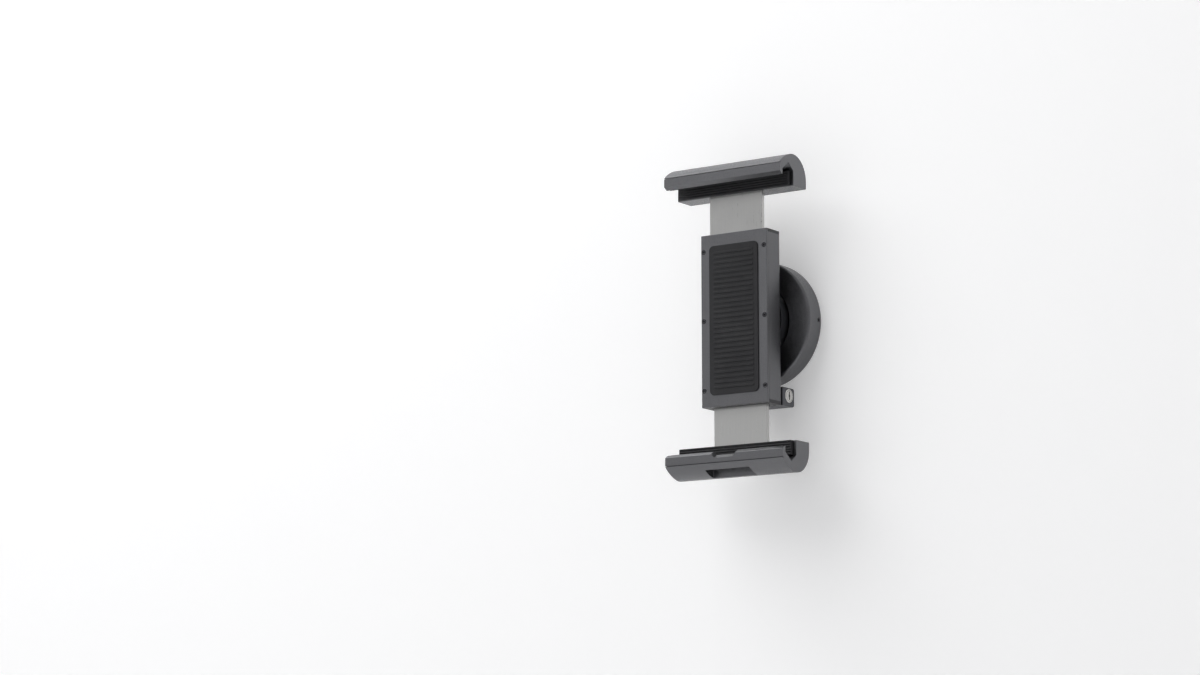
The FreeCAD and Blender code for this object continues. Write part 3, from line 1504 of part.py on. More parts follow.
def export(parts):
    os.makedirs("parts", exist_ok=True)
    for part in parts:
        if part.Shape.isNull() or not part.Shape.isValid():
            raise RuntimeError("%s has no sound shape" % part.Label)
        part.Shape.exportStep("parts/%s.step" % part.Label)


parts = make_parts()
check_document()
export(parts)
print("%d sub-parts written" % len(parts))
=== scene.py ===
import json
import logging
import math
from dataclasses import dataclass, field
from enum import Enum
from functools import cache, reduce

import bpy
import numpy as np
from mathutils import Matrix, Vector


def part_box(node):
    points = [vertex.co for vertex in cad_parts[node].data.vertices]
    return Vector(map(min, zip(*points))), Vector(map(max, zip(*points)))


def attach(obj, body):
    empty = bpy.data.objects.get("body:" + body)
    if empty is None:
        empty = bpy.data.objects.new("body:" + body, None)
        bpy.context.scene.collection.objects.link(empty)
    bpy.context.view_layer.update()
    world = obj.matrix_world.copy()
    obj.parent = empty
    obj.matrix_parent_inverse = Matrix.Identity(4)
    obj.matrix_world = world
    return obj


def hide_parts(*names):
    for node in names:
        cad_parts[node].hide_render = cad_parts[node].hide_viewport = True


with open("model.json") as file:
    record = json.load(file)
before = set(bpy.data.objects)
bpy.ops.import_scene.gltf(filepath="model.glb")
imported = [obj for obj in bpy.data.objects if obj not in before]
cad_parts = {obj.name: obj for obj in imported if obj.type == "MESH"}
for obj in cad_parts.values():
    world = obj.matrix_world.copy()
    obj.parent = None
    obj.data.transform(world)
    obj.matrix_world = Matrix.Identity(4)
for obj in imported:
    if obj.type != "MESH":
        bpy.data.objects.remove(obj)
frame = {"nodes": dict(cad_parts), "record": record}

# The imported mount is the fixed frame: Z is up, the wall is the plane Y = 0 and the front looks along -Y.
# This file dresses it: fine surfaces for what shows most, and a finish for every piece.

Array = np.ndarray
Pair = tuple[float, float]
Triple = tuple[float, float, float]
Item = bpy.types.Object
Node = bpy.types.Node
Socket = bpy.types.NodeSocket
Tree = bpy.types.NodeTree

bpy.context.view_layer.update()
LOG = logging.getLogger("tablet_wall_mount")
MM = 0.001
# How far a cutter reaches past what it cuts, in millimetres.
PAST = 1.0
# Edges that turn by more than this are rounded after a cut.
SHARP = math.radians(35.0)


class Along(Enum):
    """The axis that an outline is carried along, and the two axes that it is drawn in."""

    X = (0, 1, 2)
    Y = (1, 0, 2)
    Z = (2, 0, 1)


class Grain(Enum):
    """How a metal surface was worked, as the share of X, Y and Z by which its fine marks change.

    A turned surface keeps the two axes across the swivel's axis.
    """

    EXTRUDED_X = (0.012, 1.0, 1.0)
    EXTRUDED_Z = (1.0, 1.0, 0.012)
    TURNED = (1.0, 0.0, 1.0)
    BLASTED = (1.0, 1.0, 1.0)


# Surfaces


@dataclass(frozen=True)
class Outline:
    """A closed outline, anticlockwise: (N, 2) places in millimetres, and their outward unit normals."""

    points: Array
    normals: Array


@dataclass(frozen=True)
class Surface:
    """A closed surface: (N, 3) places in millimetres, and faces that point outwards."""

    places: Array
    faces: list[tuple[int, ...]]

    def joined(self, other: "Surface") -> "Surface":
        """Both surfaces as one mesh of separate shells."""
        shift = len(self.places)
        moved = [tuple(i + shift for i in face) for face in other.faces]
        return Surface(np.vstack([self.places, other.places]), self.faces + moved)


def arc(start: Array, end: Array, radius: float, turn: int, count: int) -> Array:
    """Points on an arc between two points, without its ends.

    The centre lies at a right angle to the chord's middle, sqrt(radius^2 - (chord / 2)^2) to its
    left for a turn of 1 and to its right for -1, and the angle grows evenly.

    Args:
        start: where the arc begins.
        end: where it ends.
        radius: in millimetres.
        turn: 1 bends to the left, -1 to the right.
        count: how many points lie between the ends.

    Returns:
        (count, 2) points.
    """
    chord = end - start
    length = float(np.hypot(*chord))
    left = np.array([-chord[1], chord[0]]) / length
    centre = start + chord / 2 + turn * left * math.sqrt(max(radius**2 - length**2 / 4, 0.0))
    first = math.atan2(*(start - centre)[::-1])
    sweep = 2 * math.asin(min(length / 2 / radius, 1.0)) * turn
    angle = first + sweep * np.linspace(0, 1, count + 2)[1:-1]
    return centre + radius * np.column_stack([np.cos(angle), np.sin(angle)])


def rounded(corners: Array, radii: Array, steps: int = 5) -> Outline:
    """An outline with each corner rounded.

    Where the direction turns by an angle at a corner, the round starts radius * tan(angle / 2)
    before it, and its points are that start plus radius times the change of the outward normal,
    which turns evenly. A corner that bends inwards does the same with the other sign.

    Args:
        corners: (K, 2) corners in millimetres.
        radii: (K,) radii, zero where a point is kept as it is.
        steps: parts of each round.

    Returns:
        The outline, anticlockwise.
    """
    area = np.sum(corners[:, 0] * np.roll(corners[:, 1], -1) - np.roll(corners[:, 0], -1) * corners[:, 1])
    if area < 0:
        corners, radii = corners[::-1], radii[::-1]
    before = corners - np.roll(corners, 1, axis=0)
    after = np.roll(corners, -1, axis=0) - corners
    before /= np.linalg.norm(before, axis=1, keepdims=True)
    after /= np.linalg.norm(after, axis=1, keepdims=True)
    turn = np.arctan2(before[:, 0] * after[:, 1] - before[:, 1] * after[:, 0], np.sum(before * after, axis=1))
    start = corners - before * (radii * np.tan(np.abs(turn) / 2))[:, None]
    # A kept point has one normal, halfway through its turn.
    share = np.where(radii[:, None] > 0, np.linspace(0, 1, steps + 1)[None, :], 0.5)
    first = np.arctan2(-before[:, 0], before[:, 1])
    angle = first[:, None] + turn[:, None] * share
    normal = np.stack([np.cos(angle), np.sin(angle)], axis=-1)
    straight = np.stack([np.cos(first), np.sin(first)], axis=-1)[:, None, :]
    points = start[:, None, :] + (np.sign(turn) * radii)[:, None, None] * (normal - straight)
    kept = (radii[:, None] > 0) | (np.arange(steps + 1)[None, :] == 0)
    return Outline(points[kept], normal[kept])


def stacked(rings: Array, closed: bool = False) -> Surface:
    """A surface through rings of equally many points.

    Point i of ring r is vertex r * N + i. Each four-sided face joins points i and i + 1 of
    neighbouring rings, and the first and last ring are closed by one flat face each, unless the
    rings themselves close. If the signed volume, the sum of a . (b x c) / 6 over the triangles, is
    negative, every face is turned round.

    Args:
        rings: (R, N, 3) places.
        closed: whether the last ring joins the first.

    Returns:
        The closed surface.
    """
    count, width, _ = rings.shape
    near = np.arange(count if closed else count - 1)[:, None] * width
    far = (near + width) % (count * width)
    point = np.arange(width)[None, :]
    follow = (point + 1) % width
    quads = np.stack([near + point, near + follow, far + follow, far + point], axis=-1).reshape(-1, 4)
    places = rings.reshape(-1, 3)
    faces = [tuple(map(int, quad)) for quad in quads]
    a, b, c, d = (places[quads[:, k]] for k in range(4))
    volume = np.sum(a * np.cross(b, c)) + np.sum(a * np.cross(c, d))
    if not closed:
        for cap in (np.arange(width)[::-1], (count - 1) * width + np.arange(width)):
            volume += np.sum(places[cap[0]] * np.cross(places[cap[1:-1]], places[cap[2:]]))
            faces.append(tuple(map(int, cap)))
    if volume < 0:
        faces = [face[::-1] for face in faces]
    return Surface(places, faces)


def bar(outline: Outline, low: float, high: float, along: Along, end_round: float = 0.0, steps: int = 4) -> Surface:
    """An outline carried straight along an axis, with plain or rounded ends.

    At an angle t from 0 to 90 degrees each end's ring lies end_round * (1 - cos t) in from the end,
    and its points are drawn in along their normals by end_round * (1 - sin t).

    Args:
        outline: the section.
        low: where the bar begins.
        high: where it ends.
        along: the axis, with the two axes that the outline is drawn in.
        end_round: the ends' rounding, zero for plain ends.
        steps: parts of each rounding.

    Returns:
        The closed surface.
    """
    angle = np.linspace(0, math.pi / 2, steps + 1 if end_round else 1)
    inset = end_round * (1 - np.sin(angle))
    step_in = end_round * (1 - np.cos(angle))
    inset = np.concatenate([inset, inset[::-1]])
    station = np.concatenate([low + step_in, (high - step_in)[::-1]])
    axis, first, second = along.value
    rings = np.empty((len(station), len(outline.points), 3))
    rings[..., axis] = station[:, None]
    rings[..., [first, second]] = outline.points[None] - outline.normals[None] * inset[:, None, None]
    return stacked(rings)


def lathe(outline: Outline, steps: int) -> Surface:
    """A closed section of Y and radius, turned about the Y axis.

    At an angle t a point (y, r) lies at (r cos t, y, r sin t). The angles begin half a step in, so
    that a hole on the X axis meets the middle of a face.

    Args:
        outline: the section, every radius above zero.
        steps: how many sections make the full turn.

    Returns:
        The closed surface.
    """
    angle = (np.arange(steps)[:, None] + 0.5) * 2 * math.pi / steps
    y, radius = outline.points[:, 0][None], outline.points[:, 1][None]
    rings = np.stack([radius * np.cos(angle), y + 0 * angle, radius * np.sin(angle)], axis=-1)
    return stacked(rings, closed=True)


def turned(profile: Array, centre: Pair, along: Along, sides: int = 32) -> Surface:
    """A solid turned about an axis, closed by a flat face at both ends.

    A point (s, r) of the profile gives a ring at the station s, at centre + r * (cos t, sin t).

    Args:
        profile: (R, 2) stations and radii.
        centre: where the axis crosses the other two axes.
        along: the axis.
        sides: points of each ring.

    Returns:
        The closed surface.
    """
    angle = np.linspace(0, 2 * math.pi, sides, endpoint=False)[None]
    axis, first, second = along.value
    rings = np.empty((len(profile), sides, 3))
    rings[..., axis] = profile[:, :1]
    rings[..., first] = centre[0] + profile[:, 1:] * np.cos(angle)
    rings[..., second] = centre[1] + profile[:, 1:] * np.sin(angle)
    return stacked(rings)


def rod(centre: Pair, radius: float, low: float, high: float, along: Along) -> Surface:
    """A plain round rod, used to cut holes."""
    return turned(np.array([(low, radius), (high, radius)]), centre, along)


def box_outline(low: Pair, high: Pair, radius: float | tuple[float, ...], steps: int = 5) -> Outline:
    """A rectangle between two corners, with one radius for all corners or one for each."""
    corners = np.array([low, (high[0], low[1]), high, (low[0], high[1])], float)
    return rounded(corners, np.full(4, radius), steps)


# Making objects


def add_object(name: str, data: bpy.types.ID) -> Item:
    """A new object in the scene, at the origin."""
    item = bpy.data.objects.new(name, data)
    bpy.context.scene.collection.objects.link(item)
    return item


def make_object(name: str, surface: Surface) -> Item:
    """A smooth-shaded object at the origin, its place in its mesh, in metres."""
    mesh = bpy.data.meshes.new(name)
    mesh.from_pydata((surface.places * MM).tolist(), [], surface.faces)
    mesh.polygons.foreach_set("use_smooth", np.ones(len(mesh.polygons), bool))
    mesh.update()
    return add_object(name, mesh)


def carve(item: Item, cutters: list[Surface]) -> None:
    """Cut closed surfaces out of a piece and keep the result as its mesh."""
    tools = [make_object(f"{item.name}_cutter_{n}", cutter) for n, cutter in enumerate(cutters)]
    for tool in tools:
        modifier = item.modifiers.new("cut", "BOOLEAN")
        modifier.operation = "DIFFERENCE"
        modifier.solver = "EXACT"
        modifier.object = tool
    bpy.context.view_layer.update()
    result = item.evaluated_get(bpy.context.evaluated_depsgraph_get())
    mesh = bpy.data.meshes.new_from_object(result)
    item.modifiers.clear()
    old = item.data
    item.data = mesh
    bpy.data.meshes.remove(old)
    mesh.name = item.name
    for tool in tools:
        data = tool.data
        bpy.data.objects.remove(tool)
        bpy.data.meshes.remove(data)


def new_piece(name: str, surface: Surface, cutters: list[Surface] | None = None, cut_round: float = 0.08) -> Item:
    """An object whose normals are weighted by area, so that flat faces stay flat beside rounded edges.

    Args:
        name: the piece's name.
        surface: its shape before the cuts.
        cutters: what is taken away.
        cut_round: rounding of the edges that the cuts leave sharp, in millimetres.

    Returns:
        The piece.
    """
    item = make_object(name, surface)
    if cutters:
        carve(item, cutters)
        edge = item.modifiers.new("edge", "BEVEL")
        edge.limit_method = "ANGLE"
        edge.angle_limit = SHARP
        edge.width = cut_round * MM
        edge.segments = 3
    item.modifiers.new("normals", "WEIGHTED_NORMAL").keep_sharp = True
    return item


def millimetres(node: str) -> tuple[Array, Array]:
    """The lowest and highest corner of a node at rest."""
    low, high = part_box(node)
    return np.array(low) / MM, np.array(high) / MM


# Finishes

Colour = Triple
# The relief, the unevenness of tone and gloss, and the share and colour of what lies on the tone.
Layers = tuple[Socket, Socket, Socket, Colour]
NUMBER, VECTOR = "NodeSocketFloat", "NodeSocketVector"


def rgba(colour: Colour, share: float = 1.0) -> tuple[float, ...]:
    """A colour, darker or lighter by a share, with full alpha."""
    return (*(part * share for part in colour), 1.0)


class Board:
    """A short way to place and join shader nodes. An input takes a socket, or a number or colour."""

    def __init__(self, tree: Tree) -> None:
        """Keep the tree that nodes go into."""
        self.tree = tree

    def feed(self, node: Node, inputs: dict[int | str, object]) -> None:
        """Join or set inputs of a node."""
        for label, value in inputs.items():
            if isinstance(value, Socket):
                self.tree.links.new(value, node.inputs[label])
            else:
                node.inputs[label].default_value = value

    def node(self, kind: str, inputs: dict[int | str, object] | None = None, **settings: object) -> Node:
        """A new node, with its properties set and its inputs fed."""
        made = self.tree.nodes.new(kind)
        for name, value in settings.items():
            setattr(made, name, value)
        self.feed(made, inputs or {})
        return made

    def group(self, tree: Tree, **numbers: float) -> Node:
        """A node group with its numbers set."""
        return self.node("ShaderNodeGroup", numbers, node_tree=tree)

    def math(self, operation: str, first: object, second: object, clamp: bool = False) -> Socket:
        """One sum of two numbers, kept from 0 to 1 where clamp says so."""
        return self.node("ShaderNodeMath", {0: first, 1: second}, operation=operation, use_clamp=clamp).outputs[0]

    def blend(self, first: object, second: object, share: float) -> Socket:
        """Two numbers added in shares that make 1, the second one's given."""
        return self.math("ADD", self.math("MULTIPLY", first, 1 - share), self.math("MULTIPLY", second, share))

    def mix(self, share: Socket, first: object, second: object) -> Socket:
        """A colour between two colours."""
        return self.node("ShaderNodeMix", {0: share, 6: first, 7: second}, data_type="RGBA").outputs[2]

    def vector(self, operation: str, *inputs: object) -> Node:
        """One sum of vectors."""
        return self.node("ShaderNodeVectorMath", dict(enumerate(inputs)), operation=operation)

    def noise(self, place: Socket, scale: object, detail: float) -> Socket:
        """Fractal noise from 0 to 1 at a scale in features per metre."""
        return self.node("ShaderNodeTexNoise", {"Vector": place, "Scale": scale, "Detail": detail}).outputs["Fac"]

    def place(self) -> Socket:
        """Object coordinates, in metres."""
        return self.node("ShaderNodeTexCoord").outputs["Object"]


def group_tree(name: str, numbers: dict[str, float], outputs: dict[str, str]) -> tuple[Board, object, Node]:
    """A shader node group with named number inputs.

    Args:
        name: the group's name.
        numbers: name and default value of each input.
        outputs: name and socket type of each output.

    Returns:
        The board, the inside sockets that give the inputs, and the node that takes the outputs.
    """
    tree = bpy.data.node_groups.new(name, "ShaderNodeTree")
    for label, value in numbers.items():
        tree.interface.new_socket(name=label, in_out="INPUT", socket_type=NUMBER).default_value = value
    for label, kind in outputs.items():
        tree.interface.new_socket(name=label, in_out="OUTPUT", socket_type=kind)
    board = Board(tree)
    return board, board.node("NodeGroupInput").outputs, board.node("NodeGroupOutput")


@cache
def worn_edge_group() -> Tree:
    """A mask that is 1 on convex and concave edges, broken up by noise, and a normal rounded there.

    The mask is 1 minus the dot product of the surface's normal and the same normal averaged over a
    small radius, times a gain and the square of a noise.
    """
    numbers = {"Radius": 0.0002, "Gain": 18.0, "Breakup": 900.0}
    board, given, result = group_tree("worn_edge", numbers, {"Mask": NUMBER, "Normal": VECTOR})
    soft = board.node("ShaderNodeBevel", {"Radius": given["Radius"]}, samples=4).outputs["Normal"]
    plain = board.node("ShaderNodeNewGeometry").outputs["Normal"]
    sharp = board.math("SUBTRACT", 1.0, board.vector("DOT_PRODUCT", soft, plain).outputs["Value"])
    patchy = board.math("POWER", board.noise(board.place(), given["Breakup"], 3.0), 2.0)
    mask = board.math("MULTIPLY", board.math("MULTIPLY", sharp, given["Gain"]), patchy, clamp=True)
    board.feed(result, {"Mask": mask, "Normal": soft})
    return board.tree


@cache
def grain_group(grain: Grain) -> Tree:
    """Fine working marks as a height from 0 to 1: noise drawn out along the direction of work.

    A turned surface reads the distance from the swivel's axis, so its marks are rings.
    """
    board, given, result = group_tree("grain_" + grain.name.lower(), {"Fineness": 4000.0}, {"Height": NUMBER})
    place = board.place()
    drawn = board.vector("MULTIPLY", place, grain.value).outputs[0]
    if grain is Grain.TURNED:
        distance = board.vector("LENGTH", drawn).outputs["Value"]
        depth = board.node("ShaderNodeSeparateXYZ", {0: place}).outputs["Y"]
        drawn = board.node("ShaderNodeCombineXYZ", {0: distance, 1: depth}).outputs[0]
    board.feed(result, {"Height": board.noise(drawn, given["Fineness"], 4.0)})
    return board.tree


@cache
def handling_group() -> Tree:
    """Slow unevenness from 0 to 1 about 0.5, as from handling: large soft noise with finer noise on it."""
    board, given, result = group_tree("handling", {"Size": 60.0, "Finer": 9.0}, {"Value": NUMBER})
    place = board.place()
    slow = board.noise(place, given["Size"], 2.0)
    fine = board.noise(place, board.math("MULTIPLY", given["Size"], given["Finer"]), 4.0)
    board.feed(result, {"Value": board.blend(slow, fine, 0.35)})
    return board.tree


@cache
def pebble_group() -> Tree:
    """Moulded texture as a height from 0 to 1: rounded cells, softened by noise."""
    board, given, result = group_tree("pebble", {"Cells": 2200.0}, {"Height": NUMBER})
    place = board.place()
    cells = board.node("ShaderNodeTexVoronoi", {"Vector": place, "Scale": given["Cells"]}, feature="SMOOTH_F1")
    soft = board.noise(place, given["Cells"], 2.0)
    board.feed(result, {"Height": board.math("MULTIPLY", cells.outputs["Distance"], soft)})
    return board.tree


@dataclass(frozen=True)
class Finish:
    """What every finish has: a colour as it renders in plain light, a gloss and a fine relief.

    Args:
        name: the material's name.
        colour: linear red, green and blue.
        roughness: of the plain surface.
        unevenness: how far roughness and tone move with handling.
        depth: of the relief, in metres.
        strength: of the relief in the shading.
        edge: rounding of sharp edges in the shading, in metres.
    """

    name: str
    colour: Colour
    roughness: float
    unevenness: float = 0.16
    depth: float = 0.00004
    strength: float = 0.25
    edge: float = 0.0002

    def layers(self, board: Board, shader: Node, handling: Socket, worn: Socket) -> Layers:
        """Set the shader's constants and draw the layers, from slow handling and a mask of worn edges."""
        raise NotImplementedError

    def build(self) -> bpy.types.Material:
        """The material. Unevenness from 0.3 to 0.7 moves the roughness over its whole range."""
        material = bpy.data.materials.new(self.name)
        material.use_nodes = True
        material.diffuse_color = rgba(self.colour)
        board = Board(material.node_tree)
        handling = board.group(handling_group()).outputs["Value"]
        edge = board.group(worn_edge_group(), Radius=self.edge).outputs
        shader = material.node_tree.nodes["Principled BSDF"]
        height, uneven, share, over = self.layers(board, shader, handling, edge["Mask"])
        spread = self.unevenness
        tone = board.mix(uneven, rgba(self.colour, 1 - spread / 2), rgba(self.colour, 1 + spread / 2))
        rough = {
            "Value": uneven, "From Min": 0.3, "From Max": 0.7,
            "To Min": self.roughness * (1 - spread), "To Max": self.roughness * (1 + spread),
        }
        relief = {"Distance": self.depth, "Strength": self.strength, "Height": height, "Normal": edge["Normal"]}
        board.feed(shader, {
            "Base Color": board.mix(share, tone, rgba(over)),
            "Roughness": board.node("ShaderNodeMapRange", rough).outputs["Result"],
            "Normal": board.node("ShaderNodeBump", relief).outputs["Normal"],
        })
        return material


@dataclass(frozen=True)
class MetalFinish(Finish):
    """Bare, plated or anodised metal.

    Args:
        grain: how its marks lie.
        fineness: marks per metre across the grain.
        streaks: share of the marks in the unevenness, the rest being handling.
        speckle: how strongly fine blasted points show in the tone.
        points: those points per metre.
        bare: the metal's colour where an edge is worn.
        wear: how much of that shows, from 0 to 1.
        anisotropic: stretch of the highlight.
    """

    grain: Grain = Grain.BLASTED
    fineness: float = 4000.0
    streaks: float = 0.6
    speckle: float = 0.0
    points: float = 1300.0
    bare: Colour = (0.5, 0.5, 0.51)
    wear: float = 0.1
    anisotropic: float = 0.0

    def layers(self, board: Board, shader: Node, handling: Socket, worn: Socket) -> Layers:
        """Working marks, the same marks in the unevenness, and bare metal on worn edges."""
        board.feed(shader, {"Metallic": 1.0, "Anisotropic": self.anisotropic})
        height = board.group(grain_group(self.grain), Fineness=self.fineness).outputs["Height"]
        uneven = board.blend(handling, height, self.streaks)
        if self.speckle:
            blasted = board.group(grain_group(Grain.BLASTED), Fineness=self.points).outputs["Height"]
            spots = board.math("MULTIPLY", board.math("SUBTRACT", blasted, 0.5), self.speckle)
            uneven = board.math("ADD", uneven, spots)
        return height, uneven, board.math("MULTIPLY", worn, self.wear), self.bare


@dataclass(frozen=True)
class MouldedFinish(Finish):
    """Rubber, plastic or pressed fibre.

    Args:
        depth: of the moulded texture, in metres.
        cells: of that texture, per metre.
        specular: level of the gloss.
        fleck: colour of fine flecks.
        flecks: how much of them shows, from 0 to 1.
    """

    depth: float = 0.00003
    cells: float = 2200.0
    specular: float = 0.4
    fleck: Colour = (0.2, 0.2, 0.2)
    flecks: float = 0.05

    def layers(self, board: Board, shader: Node, handling: Socket, worn: Socket) -> Layers:
        """Moulded texture, with flecks where it is high. Edges don't wear."""
        board.feed(shader, {"Specular IOR Level": self.specular})
        pebble = board.group(pebble_group(), Cells=self.cells).outputs["Height"]
        return pebble, handling, board.math("MULTIPLY", pebble, self.flecks, clamp=True), self.fleck


GREY = (0.149, 0.150, 0.157)
DARK_GREY = (0.110, 0.112, 0.122)
STEEL = (0.50, 0.50, 0.49)
ANODISED = {"unevenness": 0.28, "fineness": 1800, "strength": 0.22, "speckle": 2.4, "wear": 0.07}

FINISHES: dict[str, Finish] = {
    "anodised_grey": MetalFinish("anodised_grey_turned", GREY, 0.40, grain=Grain.TURNED, **ANODISED),
    "anodised_grey_x": MetalFinish(
        "anodised_grey_extruded_x", GREY, 0.40, grain=Grain.EXTRUDED_X, edge=0.00008, **ANODISED),
    "anodised_grey_z": MetalFinish("anodised_grey_extruded_z", GREY, 0.40, grain=Grain.EXTRUDED_Z, **ANODISED),
    "anodised_dark": MetalFinish(
        "anodised_dark_turned", DARK_GREY, 0.42, grain=Grain.TURNED, fineness=4200, strength=0.22),
    "anodised_dark_blasted": MetalFinish("anodised_dark_blasted", DARK_GREY, 0.46, fineness=6000, strength=0.3),
    "steel": MetalFinish("turned_steel", STEEL, 0.30, grain=Grain.TURNED, fineness=6000, strength=0.2, wear=0.0),
    "steel_brushed_z": MetalFinish(
        "brushed_steel", STEEL, 0.34, 0.30, grain=Grain.EXTRUDED_Z, fineness=3200, strength=0.16, wear=0.0,
        anisotropic=0.4),
    "steel_black": MetalFinish(
        "blackened_steel", (0.055, 0.055, 0.06), 0.38, fineness=5000, strength=0.2, wear=0.35),
    "chrome": MetalFinish("plated_nickel", (0.66, 0.65, 0.63), 0.16, fineness=3000, strength=0.05, wear=0.0),
    "brass": MetalFinish(
        "machined_brass", (0.62, 0.44, 0.19), 0.28, grain=Grain.TURNED, fineness=6000, strength=0.2,
        bare=(0.75, 0.6, 0.33), wear=0.3),
    "rubber_black": MouldedFinish(
        "black_rubber", (0.022, 0.022, 0.024), 0.72, cells=2600, strength=0.5, specular=0.3),
    "plastic_black": MouldedFinish("black_plastic", (0.030, 0.030, 0.033), 0.48, cells=1900, strength=0.35),
    "plastic_natural": MouldedFinish(
        "natural_acetal", (0.68, 0.66, 0.61), 0.42, cells=1500, strength=0.1, fleck=(0.6, 0.55, 0.45)),
    "fibre": MouldedFinish(
        "pressed_fibre", (0.22, 0.11, 0.06), 0.7, cells=3200, strength=0.6, fleck=(0.4, 0.25, 0.15),
        flecks=0.5),
}

# Nodes whose finish runs another way than the one that their slot usually has.
FINISH_OF_NODE = {
    "back_shell": "anodised_grey_z",
    "upper_tongue": "steel_brushed_z",
    "lower_tongue": "steel_brushed_z",
    "bearing_bridge": "steel_brushed_z",
}


@cache
def material_named(name: str) -> bpy.types.Material:
    """The finish's material, made once."""
    return FINISHES[name].build()


def dress(item: Item, finish: str) -> None:
    """Give a piece one material."""
    if not item.data.materials:
        item.data.materials.append(None)
    for slot in item.material_slots:
        slot.material = material_named(finish)


def settle(item: Item, body: str, nodes: list[str], slot: str, finish: str = "") -> Item:
    """Dress a new piece, let it ride on its body and stand for its nodes.

    Args:
        item: the piece.
        body: the body that it moves with.
        nodes: the nodes that it stands for.
        slot: the record's material slot.
        finish: the finish's name, where it isn't the slot's.

    Returns:
        The piece.
    """
    dress(item, finish or slot)
    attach(item, body)
    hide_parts(*nodes)
    return item


# Sub-assemblies. All lengths are in millimetres.


@dataclass
class Jaw:
    """One jaw: the extruded clamp with its rubber pads.

    Args:
        prefix: upper or lower, as in the names of its nodes.
        side: 1 for the upper jaw and -1 for the lower one.
    """

    prefix: str
    side: int
    lip_gap: float = 0.9
    lip_reach: float = 4.6
    lip_thickness: float = 3.2
    lip_bevel: float = 1.95
    lip_rounds: tuple[float, ...] = (0.35, 0.30, 0.30)
    crease_out: float = 2.7
    crease_width: float = 0.46
    crease_depth: float = 1.4
    jaw_out: float = 9.95
    back_radius: float = 14.25
    shoulder_angle: float = 15.5
    curve_points: int = 36
    groove_depth: float = 4.1
    groove_middle: float = 6.0
    groove_front: float = 0.8
    groove_back: float = 0.1
    block_reach: float = 9.0
    block_rounds: tuple[float, ...] = (0.5, 0.35, 0.35, 0.6, 0.4)
    support: float = 11.1
    tongue_play: float = 0.1
    socket_round: float = 0.2
    set_screw_spread: float = 12.0
    set_screw_inset: float = 6.0
    set_screw_radius: float = 2.05
    end_round: float = 0.2
    pad_edge: float = 0.7
    pad_groove: float = 0.35
    pad_grooves: int = 5
    pad_points: int = 10
    pad_rounds: tuple[float, ...] = (0.4, 0.15, 0.15, 0.4)
    pad_end: float = 0.3
    strip_round: float = 0.2
    strip_end: float = 0.15
    body: str = field(init=False)
    low: Array = field(init=False)
    high: Array = field(init=False)

    def __post_init__(self) -> None:
        """Read where the clamp lies from the frame."""
        self.body = self.prefix + "_jaw"
        self.low, self.high = millimetres(self.body + "_clamp")
        self.face = self.low[1] + self.lip_gap + self.lip_thickness
        inner = self.low[2] if self.side > 0 else self.high[2]
        self.held_edge = inner + self.side * self.block_reach

    def section(self) -> Outline:
        """The clamp's outline in Y and Z, seen from its end.

        The front curve leaves the crease and meets the round back without a kink, so its radius is
        chord^2 / (2 * inward . chord), with inward the round back's direction to its centre.
        """
        lip_front = -(self.lip_gap + self.lip_thickness)
        back = self.high[1] - self.face
        centre = np.array([back - self.back_radius, self.jaw_out - self.back_radius])
        tilt = math.radians(self.shoulder_angle)
        shoulder = centre + self.back_radius * np.array([-math.sin(tilt), math.cos(tilt)])
        crease = np.array([lip_front, self.crease_out])
        widest = np.array([back, centre[1]])
        inward = (centre - shoulder) / self.back_radius
        chord = crease - shoulder
        front_radius = float(chord @ chord / (2 * inward @ chord))
        lip = [(-self.lip_gap, -self.lip_reach), (lip_front, self.lip_bevel - self.lip_reach), crease]
        curve = np.vstack([
            arc(crease, shoulder, front_radius, -1, self.curve_points), shoulder,
            arc(shoulder, widest, self.back_radius, -1, self.curve_points), widest,
        ])
        block = [
            (back, -self.block_reach), (self.support, -self.block_reach), (self.support, -self.groove_back),
            (self.groove_middle, self.groove_depth), (-self.lip_gap, -self.groove_front),
        ]
        corners = np.vstack([lip, curve, block])
        radii = np.concatenate([self.lip_rounds, np.zeros(len(curve)), self.block_rounds])
        placed = np.column_stack([self.face + corners[:, 0], self.held_edge + self.side * corners[:, 1]])
        return rounded(placed, radii, steps=6)

    def crease_cutter(self) -> Surface:
        """The fine slot along the front, just below the crease, deep enough to look dark."""
        front, edge = self.low[1], self.held_edge + self.side * self.crease_out
        below, above = sorted((edge, edge - self.side * self.crease_width))
        outline = box_outline((front - PAST, below), (front + self.crease_depth, above), self.crease_width / 3)
        return bar(outline, self.low[0] - PAST, self.high[0] + PAST, Along.X)

    def socket_cutters(self) -> list[Surface]:
        """The socket for the tongue and the two set screw holes."""
        low, high = millimetres(self.prefix + "_tongue")
        play = self.tongue_play
        end = high[2] + play if self.side > 0 else low[2] - play
        mouth = self.held_edge - self.side * (self.block_reach + PAST)
        outline = box_outline(low[:2] - play, high[:2] + play, self.socket_round)
        height = self.held_edge - self.side * self.set_screw_inset
        return [bar(outline, min(end, mouth), max(end, mouth), Along.Z)] + [
            rod((spread, height), self.set_screw_radius, high[1] - play, self.high[1] + PAST, Along.Y)
            for spread in (-self.set_screw_spread, self.set_screw_spread)
        ]

    def front_cutters(self) -> list[Surface]:
        """What else is cut out of the clamp: nothing in the plain one."""
        return []

    def clamp(self) -> Item:
        """The clamp itself."""
        surface = bar(self.section(), self.low[0], self.high[0], Along.X, self.end_round)
        cutters = [self.crease_cutter(), *self.socket_cutters(), *self.front_cutters()]
        item = new_piece(self.body + "_shell", surface, cutters)
        return settle(item, self.body, [self.body + "_clamp"], "anodised_grey", "anodised_grey_x")

